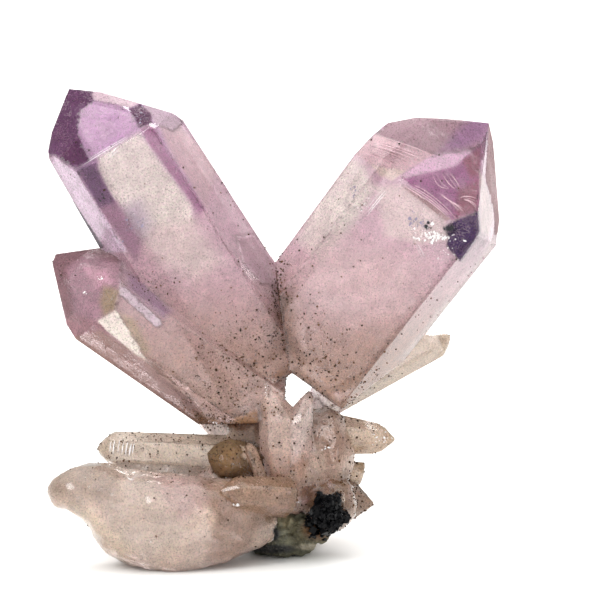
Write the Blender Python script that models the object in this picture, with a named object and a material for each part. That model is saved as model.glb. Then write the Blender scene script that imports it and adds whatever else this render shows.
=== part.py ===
"""Amethyst cluster: two large violet crystals in a V, a third beside them, small crystals on a milky root.

The cluster is laid out in its display face, in millimetres: u to the right, w away from the
viewer and v up, as someone looking squarely at it sees it. The face leans back from upright
by FACE_TILT. The finished cluster stands on the plane z = 0, where it was cut from its rock,
with the middle of its outline over the origin.
"""
import math

import bmesh
import bpy
from mathutils import Vector, noise

MM = 0.001
FACE_TILT = math.radians(10.0)
REST_HEIGHT = 2.55
BLANK_SIZE = 260.0
# A quartz end face stands at this angle to the axis, measured between its normal and the axis
RHOMB_SLOPE = math.radians(51.8)
# The seats of the stone and the mineral, grown along the ray from the middle of each. Their
# flanks are steep, so this leaves about 0.3 mm between the surfaces.
STONE_SEAT = 0.42
MINERAL_SEAT = 0.48

# The three large crystals: where the tip is, how far each prism face lies from the tip's own
# axis, and how far above the tip each end face crosses it. Faces are counted from the one
# that faces the viewer, towards the viewer's right. Shoulders are extra faces on the ends.
LEFT_TIP = (-28.5, -6.0, 67.2)
LEFT_LENGTH = 49.3
LEFT_SIDES = (7.6, 10.0, 9.1, 6.3, 4.5, 8.1)
LEFT_CAPS = (0.0, 2.7, 0.0, 3.0, 0.0, 3.8)
RIGHT_TIP = (29.8, -5.0, 62.2)
RIGHT_LENGTH = 43.3
RIGHT_SIDES = (9.9, 10.3, 9.8, 6.3, 9.5, 14.5)
RIGHT_CAPS = (0.0, 0.0, 2.4, 0.8, 3.8, 6.2)
RIGHT_SHOULDERS = ((-90, 32, 0.2), (-60, 75, 10.3))
LOW_TIP = (-30.2, -9.0, 42.9)
LOW_LENGTH = 40.0
LOW_SIDES = (6.6, 5.8, 6.3, 6.0, 5.8, 6.4)
LOW_CAPS = (0.0, 1.0, 2.4, 2.4, 1.2, 0.0)
LOW_SHOULDERS = ((-90, 11, 0.3),)

# The blunt milky crystal: across, top edge, bottom edge, front and back at each station
MILKY_STATIONS = (
    (-31.3, 12.0, 11.0, -10.9, -9.1),
    (-30.2, 13.1, 9.3, -12.6, -7.4),
    (-27.9, 14.5, 8.2, -14.0, -6.0),
    (-25.8, 15.1, 6.6, -15.0, -5.0),
    (-24.1, 15.2, 4.0, -15.6, -4.4),
    (-22.3, 15.0, 2.3, -16.0, -4.0),
    (-19.7, 14.3, 1.1, -16.3, -3.7),
    (-16.1, 13.9, 0.2, -16.5, -3.5),
    (-12.5, 13.6, 0.1, -16.4, -3.6),
    (-9.0, 13.3, 0.8, -15.8, -3.6),
    (-5.5, 12.9, 2.0, -14.4, -3.4),
    (-2.0, 11.4, 3.4, -12.0, -3.2),
    (0.6, 9.4, 4.8, -9.4, -3.5),
)
MILKY_POINTS = 20
# Its surface ripples by WAVE millimetres, and its section is squared off as SQUARENESS drops below 1
MILKY_WAVE = 0.35
MILKY_WAVE_SCALE = 0.32
MILKY_SQUARENESS = 0.85
LUMP_DETAIL = 3
# How finely the broad and the fine unevenness of a lump is spaced
LUMP_BROAD = 1.7
LUMP_FINE = 4.1


def face_point(u, w, v):
    """The place in the model, in metres, of a point of the display face."""
    lean, lift = math.sin(FACE_TILT), math.cos(FACE_TILT)
    return Vector((u, w * lift + v * lean, v * lift - w * lean - REST_HEIGHT)) * MM


def face_direction(u, w, v):
    return (face_point(u, w, v) - face_point(0, 0, 0)).normalized()


def make_object(name, bm, guide=True):
    """Turn a bmesh into an object; a guide only adds to or cuts other objects."""
    mesh = bpy.data.meshes.new(name)
    bm.to_mesh(mesh)
    bm.free()
    obj = bpy.data.objects.new(name, mesh)
    bpy.context.scene.collection.objects.link(obj)
    obj.parent = bpy.data.objects["cluster_origin"]
    if guide:
        obj.hide_render = True
        obj.display_type = "WIRE"
    return obj


def cut_by_planes(bm, planes):
    """Cut a solid down to the space behind every plane, closing each cut with a flat face."""
    for point, normal in planes:
        everything = bm.verts[:] + bm.edges[:] + bm.faces[:]
        bmesh.ops.bisect_plane(bm, geom=everything, dist=1e-9, plane_co=point, plane_no=normal,
                               clear_outer=True)
        rim = [edge for edge in bm.edges if edge.is_boundary]
        if rim:
            bmesh.ops.contextual_create(bm, geom=rim)
    bmesh.ops.recalc_face_normals(bm, faces=bm.faces[:])


def crystal(name, tip, lean, forward, length, sides, caps=(0.0,) * 6, turn=0.0, taper=0.0,
            trims=(), shoulders=()):
    """A quartz crystal: six prism faces under six rhombohedral faces that meet near the tip.

    lean is the angle from upright towards the viewer's right, and forward the angle towards
    the viewer. sides and caps are how far each prism face lies from the tip's axis, and how
    far above the tip each end face crosses it. The prism widens by taper from the tip down.
    A shoulder is one more face, between prism and end: the angle around the axis, the angle
    its normal makes with the axis, and how far it lies from the tip.
    Each trim cuts the root off square to the display face: a point on it in u and v, and
    the angle that the waste lies at, counted from the viewer's right.
    """
    lean, forward = math.radians(lean), math.radians(forward)
    axis = face_direction(math.sin(lean) * math.cos(forward), -math.sin(forward),
                          math.cos(lean) * math.cos(forward))
    viewer = face_direction(0, -1, 0)
    front = (viewer - axis * viewer.dot(axis)).normalized()
    across = axis.cross(front)
    top = face_point(*tip)
    planes = []
    for k in range(6):
        angle = math.radians(turn + 60 * k)
        out = front * math.cos(angle) + across * math.sin(angle)
        slope = math.radians(taper)
        planes.append((top + out * sides[k] * MM, out * math.cos(slope) + axis * math.sin(slope)))
        planes.append((top + axis * caps[k] * MM,
                       axis * math.cos(RHOMB_SLOPE) + out * math.sin(RHOMB_SLOPE)))
    for around, slope, reach in shoulders:
        out = front * math.cos(math.radians(around)) + across * math.sin(math.radians(around))
        normal = axis * math.cos(math.radians(slope)) + out * math.sin(math.radians(slope))
        planes.append((top + normal * reach * MM, normal))
    planes.append((top - axis * length * MM, -axis))
    for u, v, waste in trims:
        planes.append((face_point(u, 0, v),
                       face_direction(math.cos(math.radians(waste)), 0, math.sin(math.radians(waste)))))
    bm = bmesh.new()
    bmesh.ops.create_cube(bm, size=BLANK_SIZE * MM)
    cut_by_planes(bm, planes)
    return make_object(name, bm)


def even_sides(width, uneven, seed):
    """Six face distances for a small crystal of this width, each a little off the others."""
    return tuple(width / 2 * (1 + uneven * math.sin(seed * 2.3 + k * 1.9)) for k in range(6))


def lump(name, centre, radii, seed, roughness, grow=0.0, guide=True):
    """A rounded lump with an uneven surface; grow adds an even margin for a seat around it."""
    bm = bmesh.new()
    bmesh.ops.create_icosphere(bm, subdivisions=LUMP_DETAIL, radius=1.0)
    for vert in bm.verts:
        ray = vert.co.normalized()
        broad = noise.noise(ray * LUMP_BROAD + Vector((seed, 0, 0)))
        fine = noise.noise(ray * LUMP_FINE + Vector((0, seed, 0)))
        reach = 1 + roughness * (broad + 0.5 * fine)
        spot = Vector((ray.x * radii[0], ray.y * radii[1], ray.z * radii[2])) * reach
        spot += ray * grow
        vert.co = face_point(centre[0] + spot.x, centre[1] + spot.y, centre[2] + spot.z)
    bmesh.ops.recalc_face_normals(bm, faces=bm.faces[:])
    return make_object(name, bm, guide)


def boxed(value):
    """A sine or cosine eased towards its ends, which squares a round section off a little."""
    return math.copysign(abs(value) ** MILKY_SQUARENESS, value)


def milky_crystal(name):
    """The blunt, wavy crystal at the lower left, lofted through its stations."""
    bm = bmesh.new()
    rings = []
    for u, top, bottom, near, far in MILKY_STATIONS:
        ring = []
        for k in range(MILKY_POINTS):
            angle = 2 * math.pi * k / MILKY_POINTS
            w = (near + far) / 2 + (far - near) / 2 * boxed(math.cos(angle))
            v = (top + bottom) / 2 + (top - bottom) / 2 * boxed(math.sin(angle))
            ripple = MILKY_WAVE * noise.noise(Vector((u, w, v)) * MILKY_WAVE_SCALE)
            ring.append(bm.verts.new(face_point(u, w + ripple * math.cos(angle),
                                                v + ripple * math.sin(angle))))
        rings.append(ring)
    for ring, after_ring in zip(rings, rings[1:]):
        for k in range(MILKY_POINTS):
            after = (k + 1) % MILKY_POINTS
            bm.faces.new((ring[k], ring[after], after_ring[after], after_ring[k]))
    bm.faces.new(rings[0])
    bm.faces.new(rings[-1])
    bmesh.ops.recalc_face_normals(bm, faces=bm.faces[:])
    return make_object(name, bm, guide=False)


def floor_block():
    """The rock that the cluster was cut from: everything below z = 0."""
    bm = bmesh.new()
    bmesh.ops.create_cube(bm, size=BLANK_SIZE * MM)
    bmesh.ops.translate(bm, verts=bm.verts[:], vec=(0, 0, -BLANK_SIZE * MM / 2))
    return make_object("floor_block", bm)


def large_crystals():
    return [
        crystal("left_crystal", LEFT_TIP, lean=-31.3, forward=6, length=LEFT_LENGTH,
                sides=LEFT_SIDES, caps=LEFT_CAPS, taper=1.3, trims=((-6.3, 23.5, -120),)),
        crystal("right_crystal", RIGHT_TIP, lean=37.4, forward=5, length=RIGHT_LENGTH,
                sides=RIGHT_SIDES, caps=RIGHT_CAPS, turn=12, taper=-1.0,
                trims=((1.2, 35.0, 187), (17.9, 29.1, -53)), shoulders=RIGHT_SHOULDERS),
        crystal("low_left_crystal", LOW_TIP, lean=-55.5, forward=10, length=LOW_LENGTH,
                sides=LOW_SIDES, caps=LOW_CAPS, taper=0.5,
                trims=((1.6, 26.0, -3), (-9.0, 20.6, -88)), shoulders=LOW_SHOULDERS),
    ]


def small_crystals():
    """The smaller crystals in view, from the middle pair outwards."""
    return [
        crystal("middle_left", (-0.4, -9.5, 26.2), lean=-2, forward=12, length=18,
                sides=(2.7, 3.4, 3.4, 2.7, 1.7, 1.8)),
        crystal("middle_right", (4.9, -9.1, 25.5), lean=2, forward=12, length=17,
                sides=(2.9, 0.7, 0.7, 2.5, 2.2, 3.6)),
        crystal("behind_right", (25.2, 6.0, 32.9), lean=61, forward=0, length=21,
                sides=(2.6, 1.8, 1.8, 2.6, 2.8, 2.8)),
        crystal("right_upper", (17.3, -1.0, 18.2), lean=96, forward=0, length=14,
                sides=(2.0, 1.75, 1.7, 2.0, 1.6, 1.6), taper=6),
        crystal("right_middle", (13.0, 1.0, 15.1), lean=53, forward=10, length=8,
                sides=even_sides(3.6, 0.1, 3)),
        crystal("right_lower", (14.3, 0.5, 9.2), lean=97, forward=0, length=11,
                sides=(3.0, 2.6, 2.6, 3.0, 2.7, 2.7), taper=2),
        crystal("left_upper", (-24.3, -5.0, 18.0), lean=-87.5, forward=0, length=20,
                sides=(2.6, 1.5, 1.5, 2.6, 3.7, 3.5), caps=(0.0, 0.0, 0.0, 1.0, 2.0, 1.8), taper=0.5),
        crystal("brown_stub", (-9.3, -12.0, 16.6), lean=-75, forward=40, length=9,
                sides=even_sides(4.8, 0.08, 5)),
        crystal("front_stub", (-7.6, -14.6, 11.5), lean=-84, forward=28, length=11,
                sides=(2.3, 2.0, 2.0, 2.3, 2.1, 2.1), taper=3),
        crystal("spur", (-3.7, -10.5, 18.5), lean=-20, forward=0, length=6,
                sides=even_sides(1.8, 0.1, 1)),
        crystal("bridge", (-5.4, -4.5, 21.8), lean=-5, forward=0, length=6,
                sides=even_sides(2.3, 0.1, 2)),
    ]


def rear_crystals():
    """The crystals on the side that faces away from the viewer."""
    return [
        crystal("rear_foot", (-6.0, 19.5, 7.3), lean=-60, forward=-65, length=17,
                sides=even_sides(6.2, 0.1, 4), turn=10),
        crystal("rear_foot_right", (5.5, 16.5, 8.4), lean=50, forward=-60, length=15,
                sides=even_sides(5.0, 0.1, 6), turn=25),
        crystal("rear_left", (-15.5, 11.5, 13.5), lean=-75, forward=-35, length=19,
                sides=even_sides(5.2, 0.12, 7), turn=5),
        crystal("rear_middle", (-2.5, 15.5, 19.5), lean=-8, forward=-52, length=15,
                sides=even_sides(4.6, 0.1, 8), turn=15),
        crystal("rear_upper_left", (-12.0, 9.5, 26.0), lean=-40, forward=-32, length=16,
                sides=even_sides(5.0, 0.12, 9), turn=20),
        crystal("rear_upper_right", (8.6, 9.5, 26.5), lean=28, forward=-36, length=16,
                sides=even_sides(4.4, 0.12, 10)),
    ]


def root_lumps():
    """The milky mass that every crystal grows from."""
    return [
        lump("root", centre=(2.6, -1.2, 13.2), radii=(6.6, 8.4, 8.2), seed=1.0, roughness=0.09),
        lump("root_right", centre=(7.4, -2.5, 16.0), radii=(3.7, 5.0, 7.0), seed=2.0, roughness=0.07),
        lump("root_rear", centre=(0.5, 6.0, 8.6), radii=(7.0, 7.6, 6.6), seed=3.0, roughness=0.12),
        lump("root_left", centre=(-6.0, -5.5, 10.5), radii=(6.0, 5.5, 5.5), seed=4.0, roughness=0.10),
        lump("root_neck", centre=(-3.6, -5.0, 18.6), radii=(3.2, 3.0, 3.8), seed=6.0, roughness=0.08),
        lump("root_front", centre=(7.2, -4.0, 9.6), radii=(4.4, 4.6, 4.4), seed=5.0, roughness=0.10),
    ]


def boolean(obj, other, operation):
    modifier = obj.modifiers.new(f"{operation.lower()}_{other.name}", "BOOLEAN")
    modifier.operation = operation
    modifier.solver = "EXACT"
    modifier.object = other


def principled(name, colour, roughness, transmission=0.0, ior=1.5):
    material = bpy.data.materials.new(name)
    material.use_nodes = True
    shader = material.node_tree.nodes["Principled BSDF"]
    shader.inputs["Base Color"].default_value = (*colour, 1.0)
    shader.inputs["Roughness"].default_value = roughness
    shader.inputs["Metallic"].default_value = 0.0
    shader.inputs["Transmission Weight"].default_value = transmission
    shader.inputs["IOR"].default_value = ior
    return material


def black_mineral(name, grow=0.0, guide=False):
    """The jagged black mineral at the front of the root."""
    return lump(name, centre=(7.4, -8.4, 8.2), radii=(2.4, 2.0, 2.2), seed=12.0, roughness=0.75,
                grow=grow, guide=guide)


def matrix_stone(name, grow=0.0, guide=False):
    """What is left of the host rock, below the root."""
    return lump(name, centre=(0.8, -1.2, 6.3), radii=(6.4, 8.4, 3.7), seed=21.0, roughness=0.28,
                grow=grow, guide=guide)


def stand_on_origin(objects):
    """Move the whole cluster so that the middle of its outline is over the origin."""
    bpy.context.view_layer.update()
    graph = bpy.context.evaluated_depsgraph_get()
    corners = []
    for obj in objects:
        shape = obj.evaluated_get(graph)
        corners += [shape.matrix_world @ vert.co for vert in shape.data.vertices]
    for axis in (0, 1):
        values = [corner[axis] for corner in corners]
        bpy.data.objects["cluster_origin"].location[axis] = -(min(values) + max(values)) / 2
    bpy.context.view_layer.update()


def main():
    for obj in list(bpy.data.objects):
        bpy.data.objects.remove(obj)
    origin = bpy.data.objects.new("cluster_origin", None)
    bpy.context.scene.collection.objects.link(origin)

    floor = floor_block()
    stone_seat = matrix_stone("stone_seat", grow=STONE_SEAT, guide=True)
    mineral_seat = black_mineral("mineral_seat", grow=MINERAL_SEAT, guide=True)

    body = milky_crystal("amethyst_cluster")
    for piece in large_crystals() + root_lumps() + small_crystals() + rear_crystals():
        boolean(body, piece, "UNION")
    for cutter in (stone_seat, mineral_seat, floor):
        boolean(body, cutter, "DIFFERENCE")
    body.data.materials.append(principled("quartz", (0.62, 0.50, 0.62), 0.08, 1.0, 1.544))

    stone = matrix_stone("matrix_stone")
    for cutter in (mineral_seat, floor):
        boolean(stone, cutter, "DIFFERENCE")
    stone.data.materials.append(principled("host_rock", (0.20, 0.19, 0.14), 0.85))

    mineral = black_mineral("black_mineral")
    mineral.data.materials.append(principled("black_mineral", (0.012, 0.012, 0.014), 0.35))

    stand_on_origin([body, stone, mineral])


main()
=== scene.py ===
"""An amethyst crystal cluster: its crystals, haze, host rock and grains, with stage, light and camera."""

import math
from contextlib import contextmanager

import bmesh
import bpy
import numpy as np
from bpy.props import FloatProperty, FloatVectorProperty, IntProperty, PointerProperty
from bpy.types import Operator, Panel, PropertyGroup
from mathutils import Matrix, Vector, noise
from mathutils.bvhtree import BVHTree


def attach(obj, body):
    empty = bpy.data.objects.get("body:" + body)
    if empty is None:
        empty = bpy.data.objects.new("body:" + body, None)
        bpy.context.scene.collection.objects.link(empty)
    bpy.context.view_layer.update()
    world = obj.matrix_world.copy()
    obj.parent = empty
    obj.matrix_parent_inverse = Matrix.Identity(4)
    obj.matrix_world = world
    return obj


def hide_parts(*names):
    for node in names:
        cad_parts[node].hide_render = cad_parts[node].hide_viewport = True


bl_info = {
    "name": "Amethyst Crystal Cluster",
    "version": (1, 0, 0),
    "blender": (4, 5, 0),
    "location": "View3D > Sidebar > Amethyst",
    "description": "Builds an amethyst crystal cluster with its haze, host rock, grains and stage",
    "category": "Add Mesh",
}

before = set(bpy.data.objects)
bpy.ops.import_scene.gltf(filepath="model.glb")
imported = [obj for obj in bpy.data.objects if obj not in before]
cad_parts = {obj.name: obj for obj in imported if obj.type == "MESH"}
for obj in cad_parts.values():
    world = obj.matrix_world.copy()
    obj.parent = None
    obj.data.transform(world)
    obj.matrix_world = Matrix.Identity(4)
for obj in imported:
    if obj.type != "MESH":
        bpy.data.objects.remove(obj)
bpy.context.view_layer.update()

# The display face: millimetres to the right (u), away from the viewer (w) and up (v), for
# someone who looks squarely at the cluster. The face leans back from upright.
MM = 0.001
FACE_TILT = math.radians(10.0)
REST_HEIGHT = 2.55
CLUSTER_SHIFT = (-0.0974, -2.6328)
BLANK_SIZE = 260.0
RHOMB_SLOPE = math.radians(51.8)
VIEW_DISTANCE = 900.0
VIEW_CENTRE = (3.64, 38.29)

# name, tip, lean, forward, length, prism face distances, end face heights, turn, taper,
# trims (u, v, angle), shoulders (around, slope, reach)
LARGE_CRYSTALS = (
    ("left", (-28.5, -6.0, 67.2), -31.3, 6, 49.3, (7.6, 10.0, 9.1, 6.3, 4.5, 8.1),
     (0.0, 2.7, 0.0, 3.0, 0.0, 3.8), 0, 1.3, ((-6.3, 23.5, -120),), ()),
    ("right", (29.8, -5.0, 62.2), 37.4, 5, 43.3, (9.9, 10.3, 9.8, 6.3, 9.5, 14.5),
     (0.0, 0.0, 2.4, 0.8, 3.8, 6.2), 12, -1.0, ((1.2, 35.0, 187), (17.9, 29.1, -53)),
     ((-90, 32, 0.2), (-60, 75, 10.3))),
    ("low_left", (-30.2, -9.0, 42.9), -55.5, 10, 40.0, (6.6, 5.8, 6.3, 6.0, 5.8, 6.4),
     (0.0, 1.0, 2.4, 2.4, 1.2, 0.0), 0, 0.5, ((1.6, 26.0, -3), (-9.0, 20.6, -88)),
     ((-90, 11, 0.3),)),
)
LEVEL = (0.0,) * 6


def even_sides(width, uneven, seed):
    """Six face distances for a small crystal of this width, each a little off the others."""
    return tuple(width / 2 * (1 + uneven * math.sin(seed * 2.3 + k * 1.9)) for k in range(6))


SMALL_CRYSTALS = (
    ("middle_left", (-0.4, -9.5, 26.2), -2, 12, 18, (2.7, 3.4, 3.4, 2.7, 1.7, 1.8), LEVEL, 0, 0, (), ()),
    ("middle_right", (4.9, -9.1, 25.5), 2, 12, 17, (2.9, 0.7, 0.7, 2.5, 2.2, 3.6), LEVEL, 0, 0, (), ()),
    ("behind_right", (25.2, 6.0, 32.9), 61, 0, 21, (2.6, 1.8, 1.8, 2.6, 2.8, 2.8), LEVEL, 0, 0, (), ()),
    ("right_upper", (17.3, -1.0, 18.2), 96, 0, 14, (2.0, 1.75, 1.7, 2.0, 1.6, 1.6), LEVEL, 0, 6, (), ()),
    ("right_middle", (13.0, 1.0, 15.1), 53, 10, 8, even_sides(3.6, 0.1, 3), LEVEL, 0, 0, (), ()),
    ("right_lower", (14.3, 0.5, 9.2), 97, 0, 11, (3.0, 2.6, 2.6, 3.0, 2.7, 2.7), LEVEL, 0, 2, (), ()),
    ("left_upper", (-24.3, -5.0, 18.0), -87.5, 0, 20, (2.6, 1.5, 1.5, 2.6, 3.7, 3.5),
     (0.0, 0.0, 0.0, 1.0, 2.0, 1.8), 0, 0.5, (), ()),
    ("brown_stub", (-9.3, -12.0, 16.6), -75, 40, 9, even_sides(4.8, 0.08, 5), LEVEL, 0, 0, (), ()),
    ("front_stub", (-7.6, -14.6, 11.5), -84, 28, 11, (2.3, 2.0, 2.0, 2.3, 2.1, 2.1), LEVEL, 0, 3, (), ()),
    ("spur", (-3.7, -10.5, 18.5), -20, 0, 6, even_sides(1.8, 0.1, 1), LEVEL, 0, 0, (), ()),
    ("bridge", (-5.4, -4.5, 21.8), -5, 0, 6, even_sides(2.3, 0.1, 2), LEVEL, 0, 0, (), ()),
)
REAR_CRYSTALS = (
    ("rear_foot", (-6.0, 19.5, 7.3), -60, -65, 17, even_sides(6.2, 0.1, 4), LEVEL, 10, 0, (), ()),
    ("rear_foot_right", (5.5, 16.5, 8.4), 50, -60, 15, even_sides(5.0, 0.1, 6), LEVEL, 25, 0, (), ()),
    ("rear_left", (-15.5, 11.5, 13.5), -75, -35, 19, even_sides(5.2, 0.12, 7), LEVEL, 5, 0, (), ()),
    ("rear_middle", (-2.5, 15.5, 19.5), -8, -52, 15, even_sides(4.6, 0.1, 8), LEVEL, 15, 0, (), ()),
    ("rear_upper_left", (-12.0, 9.5, 26.0), -40, -32, 16, even_sides(5.0, 0.12, 9), LEVEL, 20, 0, (), ()),
    ("rear_upper_right", (8.6, 9.5, 26.5), 28, -36, 16, even_sides(4.4, 0.12, 10), LEVEL, 0, 0, (), ()),
)
ALL_CRYSTALS = LARGE_CRYSTALS + SMALL_CRYSTALS + REAR_CRYSTALS
CRYSTAL_NAMES = [row[0] for row in ALL_CRYSTALS]

# centre, radii, seed, roughness of each lump of the milky root
ROOT_LUMPS = (
    ((2.6, -1.2, 13.2), (6.6, 8.4, 8.2), 1.0, 0.09),
    ((7.4, -2.5, 16.0), (3.7, 5.0, 7.0), 2.0, 0.07),
    ((0.5, 6.0, 8.6), (7.0, 7.6, 6.6), 3.0, 0.12),
    ((-6.0, -5.5, 10.5), (6.0, 5.5, 5.5), 4.0, 0.10),
    ((-3.6, -5.0, 18.6), (3.2, 3.0, 3.8), 6.0, 0.08),
    ((7.2, -4.0, 9.6), (4.4, 4.6, 4.4), 5.0, 0.10),
)
STONE_LUMP = ((0.8, -1.2, 6.3), (6.4, 8.4, 3.7), 21.0, 0.28)
MINERAL_LUMP = ((7.4, -8.4, 8.2), (2.4, 2.0, 2.2), 12.0, 0.75)
STONE_SEAT = 0.42
MINERAL_SEAT = 0.48

# The blunt milky crystal: across, top edge, bottom edge, front and back at each station
MILKY_STATIONS = (
    (-31.3, 12.0, 11.0, -10.9, -9.1), (-30.2, 13.1, 9.3, -12.6, -7.4), (-27.9, 14.5, 8.2, -14.0, -6.0),
    (-25.8, 15.1, 6.6, -15.0, -5.0), (-24.1, 15.2, 4.0, -15.6, -4.4), (-22.3, 15.0, 2.3, -16.0, -4.0),
    (-19.7, 14.3, 1.1, -16.3, -3.7), (-16.1, 13.9, 0.2, -16.5, -3.5), (-12.5, 13.6, 0.1, -16.4, -3.6),
    (-9.0, 13.3, 0.8, -15.8, -3.6), (-5.5, 12.9, 2.0, -14.4, -3.4), (-2.0, 11.4, 3.4, -12.0, -3.2),
    (0.6, 9.4, 4.8, -9.4, -3.5),
)
MILKY_POINTS = 44
MILKY_RINGS = 48
# Boxes around the fronts of the large crystals' tips and of the foot, where a mesh is finest, and
# the longest edges elsewhere and inside the box
FINE_TIPS = ((-0.034, -0.025, 0.033), (0.034, 0.002, 0.066))
FINE_FOOT = ((-0.034, -0.025, -0.001), (0.034, 0.001, 0.0165))
HAZE_EDGES = (0.0013, 0.0007)
CORE_EDGE = 0.0016
ROCK_EDGE = 0.0004
CORE_CHAMFER = 0.0002
CORE_WAVE = 0.0005
ROCK_RELIEF = 0.0004
# A display pixel in mm, the pixel in the middle of the view, the cover from which a zone is a film
# on the surface, and the share of a film from which a point is lifted
PIXEL = 0.14
MIDDLE_PIXEL = (300, 296.5)
FILM_COVER = 0.85
FILM_SHARE = 0.55
# How squarely a face looks at the viewer where it starts to show zones, with their painted reflections and
# shade, and where it shows them all
ZONE_FACING = (-0.12, 0.0)
# The most softness with which a zone still gets a cut outline, and how far towards a face's middle
# its corners are painted
CRISP_ZONE = 2.5
CORNER_INSET = 0.12
SHARP_ANGLE = math.radians(9)
WORN_ANGLE = math.radians(8)
QUARTZ_IOR = 1.544
# The zoning of low_left is shorter by this share
SHORT_TIP = 0.45
# How far from its face planes a crystal's surface, and its haze, may lie
OWNER_REACH = (0.00016, 0.0006)


def face_point(u, w, v):
    """The place in the model, in metres, of a point of the display face."""
    lean, lift = math.sin(FACE_TILT), math.cos(FACE_TILT)
    return Vector((u + CLUSTER_SHIFT[0], w * lift + v * lean + CLUSTER_SHIFT[1],
                   v * lift - w * lean - REST_HEIGHT)) * MM


def face_direction(u, w, v):
    return (face_point(u, w, v) - face_point(0, 0, 0)).normalized()


def to_face(points):
    """Display-face coordinates, in millimetres, of an array of model points."""
    p = points / MM - np.array((CLUSTER_SHIFT[0], CLUSTER_SHIFT[1], -REST_HEIGHT))
    lean, lift = math.sin(FACE_TILT), math.cos(FACE_TILT)
    return np.stack([p[:, 0], p[:, 1] * lift - p[:, 2] * lean, p[:, 1] * lean + p[:, 2] * lift], 1)


def display_point(x, y, w=0.0):
    """The place in the model that a display pixel shows at a depth of w."""
    size = PIXEL * (1 + w / VIEW_DISTANCE)
    return face_point(VIEW_CENTRE[0] + (x - MIDDLE_PIXEL[0]) * size, w,
                      VIEW_CENTRE[1] + (MIDDLE_PIXEL[1] - y) * size)


def eye_point():
    return face_point(VIEW_CENTRE[0], -VIEW_DISTANCE, VIEW_CENTRE[1])


def link(obj):
    bpy.context.scene.collection.objects.link(obj)
    return obj


def mesh_object(name, bm):
    mesh = bpy.data.meshes.new(name)
    bm.to_mesh(mesh)
    bm.free()
    return link(bpy.data.objects.new(name, mesh))


@contextmanager
def edited(mesh):
    """A BMesh of the mesh, written back to it at the end."""
    bm = bmesh.new()
    bm.from_mesh(mesh)
    yield bm
    bm.to_mesh(mesh)
    bm.free()


def cut_by_planes(bm, planes):
    """Cut a solid down to the space behind every plane, closing each cut with a flat face."""
    for point, normal in planes:
        everything = bm.verts[:] + bm.edges[:] + bm.faces[:]
        bmesh.ops.bisect_plane(bm, geom=everything, dist=1e-9, plane_co=point, plane_no=normal,
                               clear_outer=True)
        rim = [edge for edge in bm.edges if edge.is_boundary]
        if rim:
            bmesh.ops.contextual_create(bm, geom=rim)
    bmesh.ops.recalc_face_normals(bm, faces=bm.faces[:])


def crystal_frame(row):
    """The tip, axis, front and across directions of a crystal."""
    lean, forward = math.radians(row[2]), math.radians(row[3])
    axis = face_direction(math.sin(lean) * math.cos(forward), -math.sin(forward),
                          math.cos(lean) * math.cos(forward))
    viewer = face_direction(0, -1, 0)
    front = (viewer - axis * viewer.dot(axis)).normalized()
    return face_point(*row[1]), axis, front, axis.cross(front)


def crystal_planes(row, inset=0.0):
    """Every face plane of a crystal as (point, normal), moved inwards by the inset."""
    _, _, _, _, length, sides, caps, turn, taper, trims, shoulders = row
    top, axis, front, across = crystal_frame(row)
    planes = []
    slope = math.radians(taper)
    for k in range(6):
        angle = math.radians(turn + 60 * k)
        out = front * math.cos(angle) + across * math.sin(angle)
        planes.append((top + out * sides[k] * MM, out * math.cos(slope) + axis * math.sin(slope)))
        planes.append((top + axis * caps[k] * MM,
                       axis * math.cos(RHOMB_SLOPE) + out * math.sin(RHOMB_SLOPE)))
    for around, steep, reach in shoulders:
        out = front * math.cos(math.radians(around)) + across * math.sin(math.radians(around))
        normal = axis * math.cos(math.radians(steep)) + out * math.sin(math.radians(steep))
        planes.append((top + normal * reach * MM, normal))
    planes.append((top - axis * length * MM, -axis))
    for u, v, waste in trims:
        planes.append((face_point(u, 0, v),
                       face_direction(math.cos(math.radians(waste)), 0, math.sin(math.radians(waste)))))
    return [(point - normal * inset, normal) for point, normal in planes]


def crystal_solid(row, chamfer, inset=0.0, blunt=0.0):
    """A crystal with a narrow chamfer along every edge and its tip worn off by the blunt depth."""
    bm = bmesh.new()
    bmesh.ops.create_cube(bm, size=BLANK_SIZE * MM)
    cut_by_planes(bm, crystal_planes(row, inset))
    cuts = []
    for edge in bm.edges:
        if edge.calc_length() < chamfer * 2 or len(edge.link_faces) != 2:
            continue
        first, second = (face.normal for face in edge.link_faces)
        if first.angle(second) < WORN_ANGLE:
            continue
        normal = (first + second).normalized()
        drop = chamfer * 0.5 * math.sin(first.angle(second) / 2)
        cuts.append((edge.verts[0].co - normal * drop, normal))
    for vert in bm.verts:
        normal = sum((face.normal for face in vert.link_faces), Vector()).normalized()
        if blunt and normal.dot(crystal_frame(row)[1]) > 0.3:
            cuts.append((vert.co - normal * blunt, normal))
    cut_by_planes(bm, cuts)
    return mesh_object(row[0], bm)


def lump_solid(name, spec, grow=0.0, detail=4):
    """A rounded lump with an uneven surface; grow adds an even margin for a seat around it."""
    centre, radii, seed, roughness = spec
    bm = bmesh.new()
    bmesh.ops.create_icosphere(bm, subdivisions=detail, radius=1.0)
    for vert in bm.verts:
        ray = vert.co.normalized()
        broad = noise.noise(ray * 1.7 + Vector((seed, 0, 0)))
        fine = noise.noise(ray * 4.1 + Vector((0, seed, 0)))
        reach = 1 + roughness * (broad + 0.5 * fine)
        spot = Vector([ray[i] * radii[i] * reach + ray[i] * grow for i in range(3)])
        vert.co = face_point(*(centre[i] + spot[i] for i in range(3)))
    bmesh.ops.recalc_face_normals(bm, faces=bm.faces[:])
    return mesh_object(name, bm)


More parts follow.
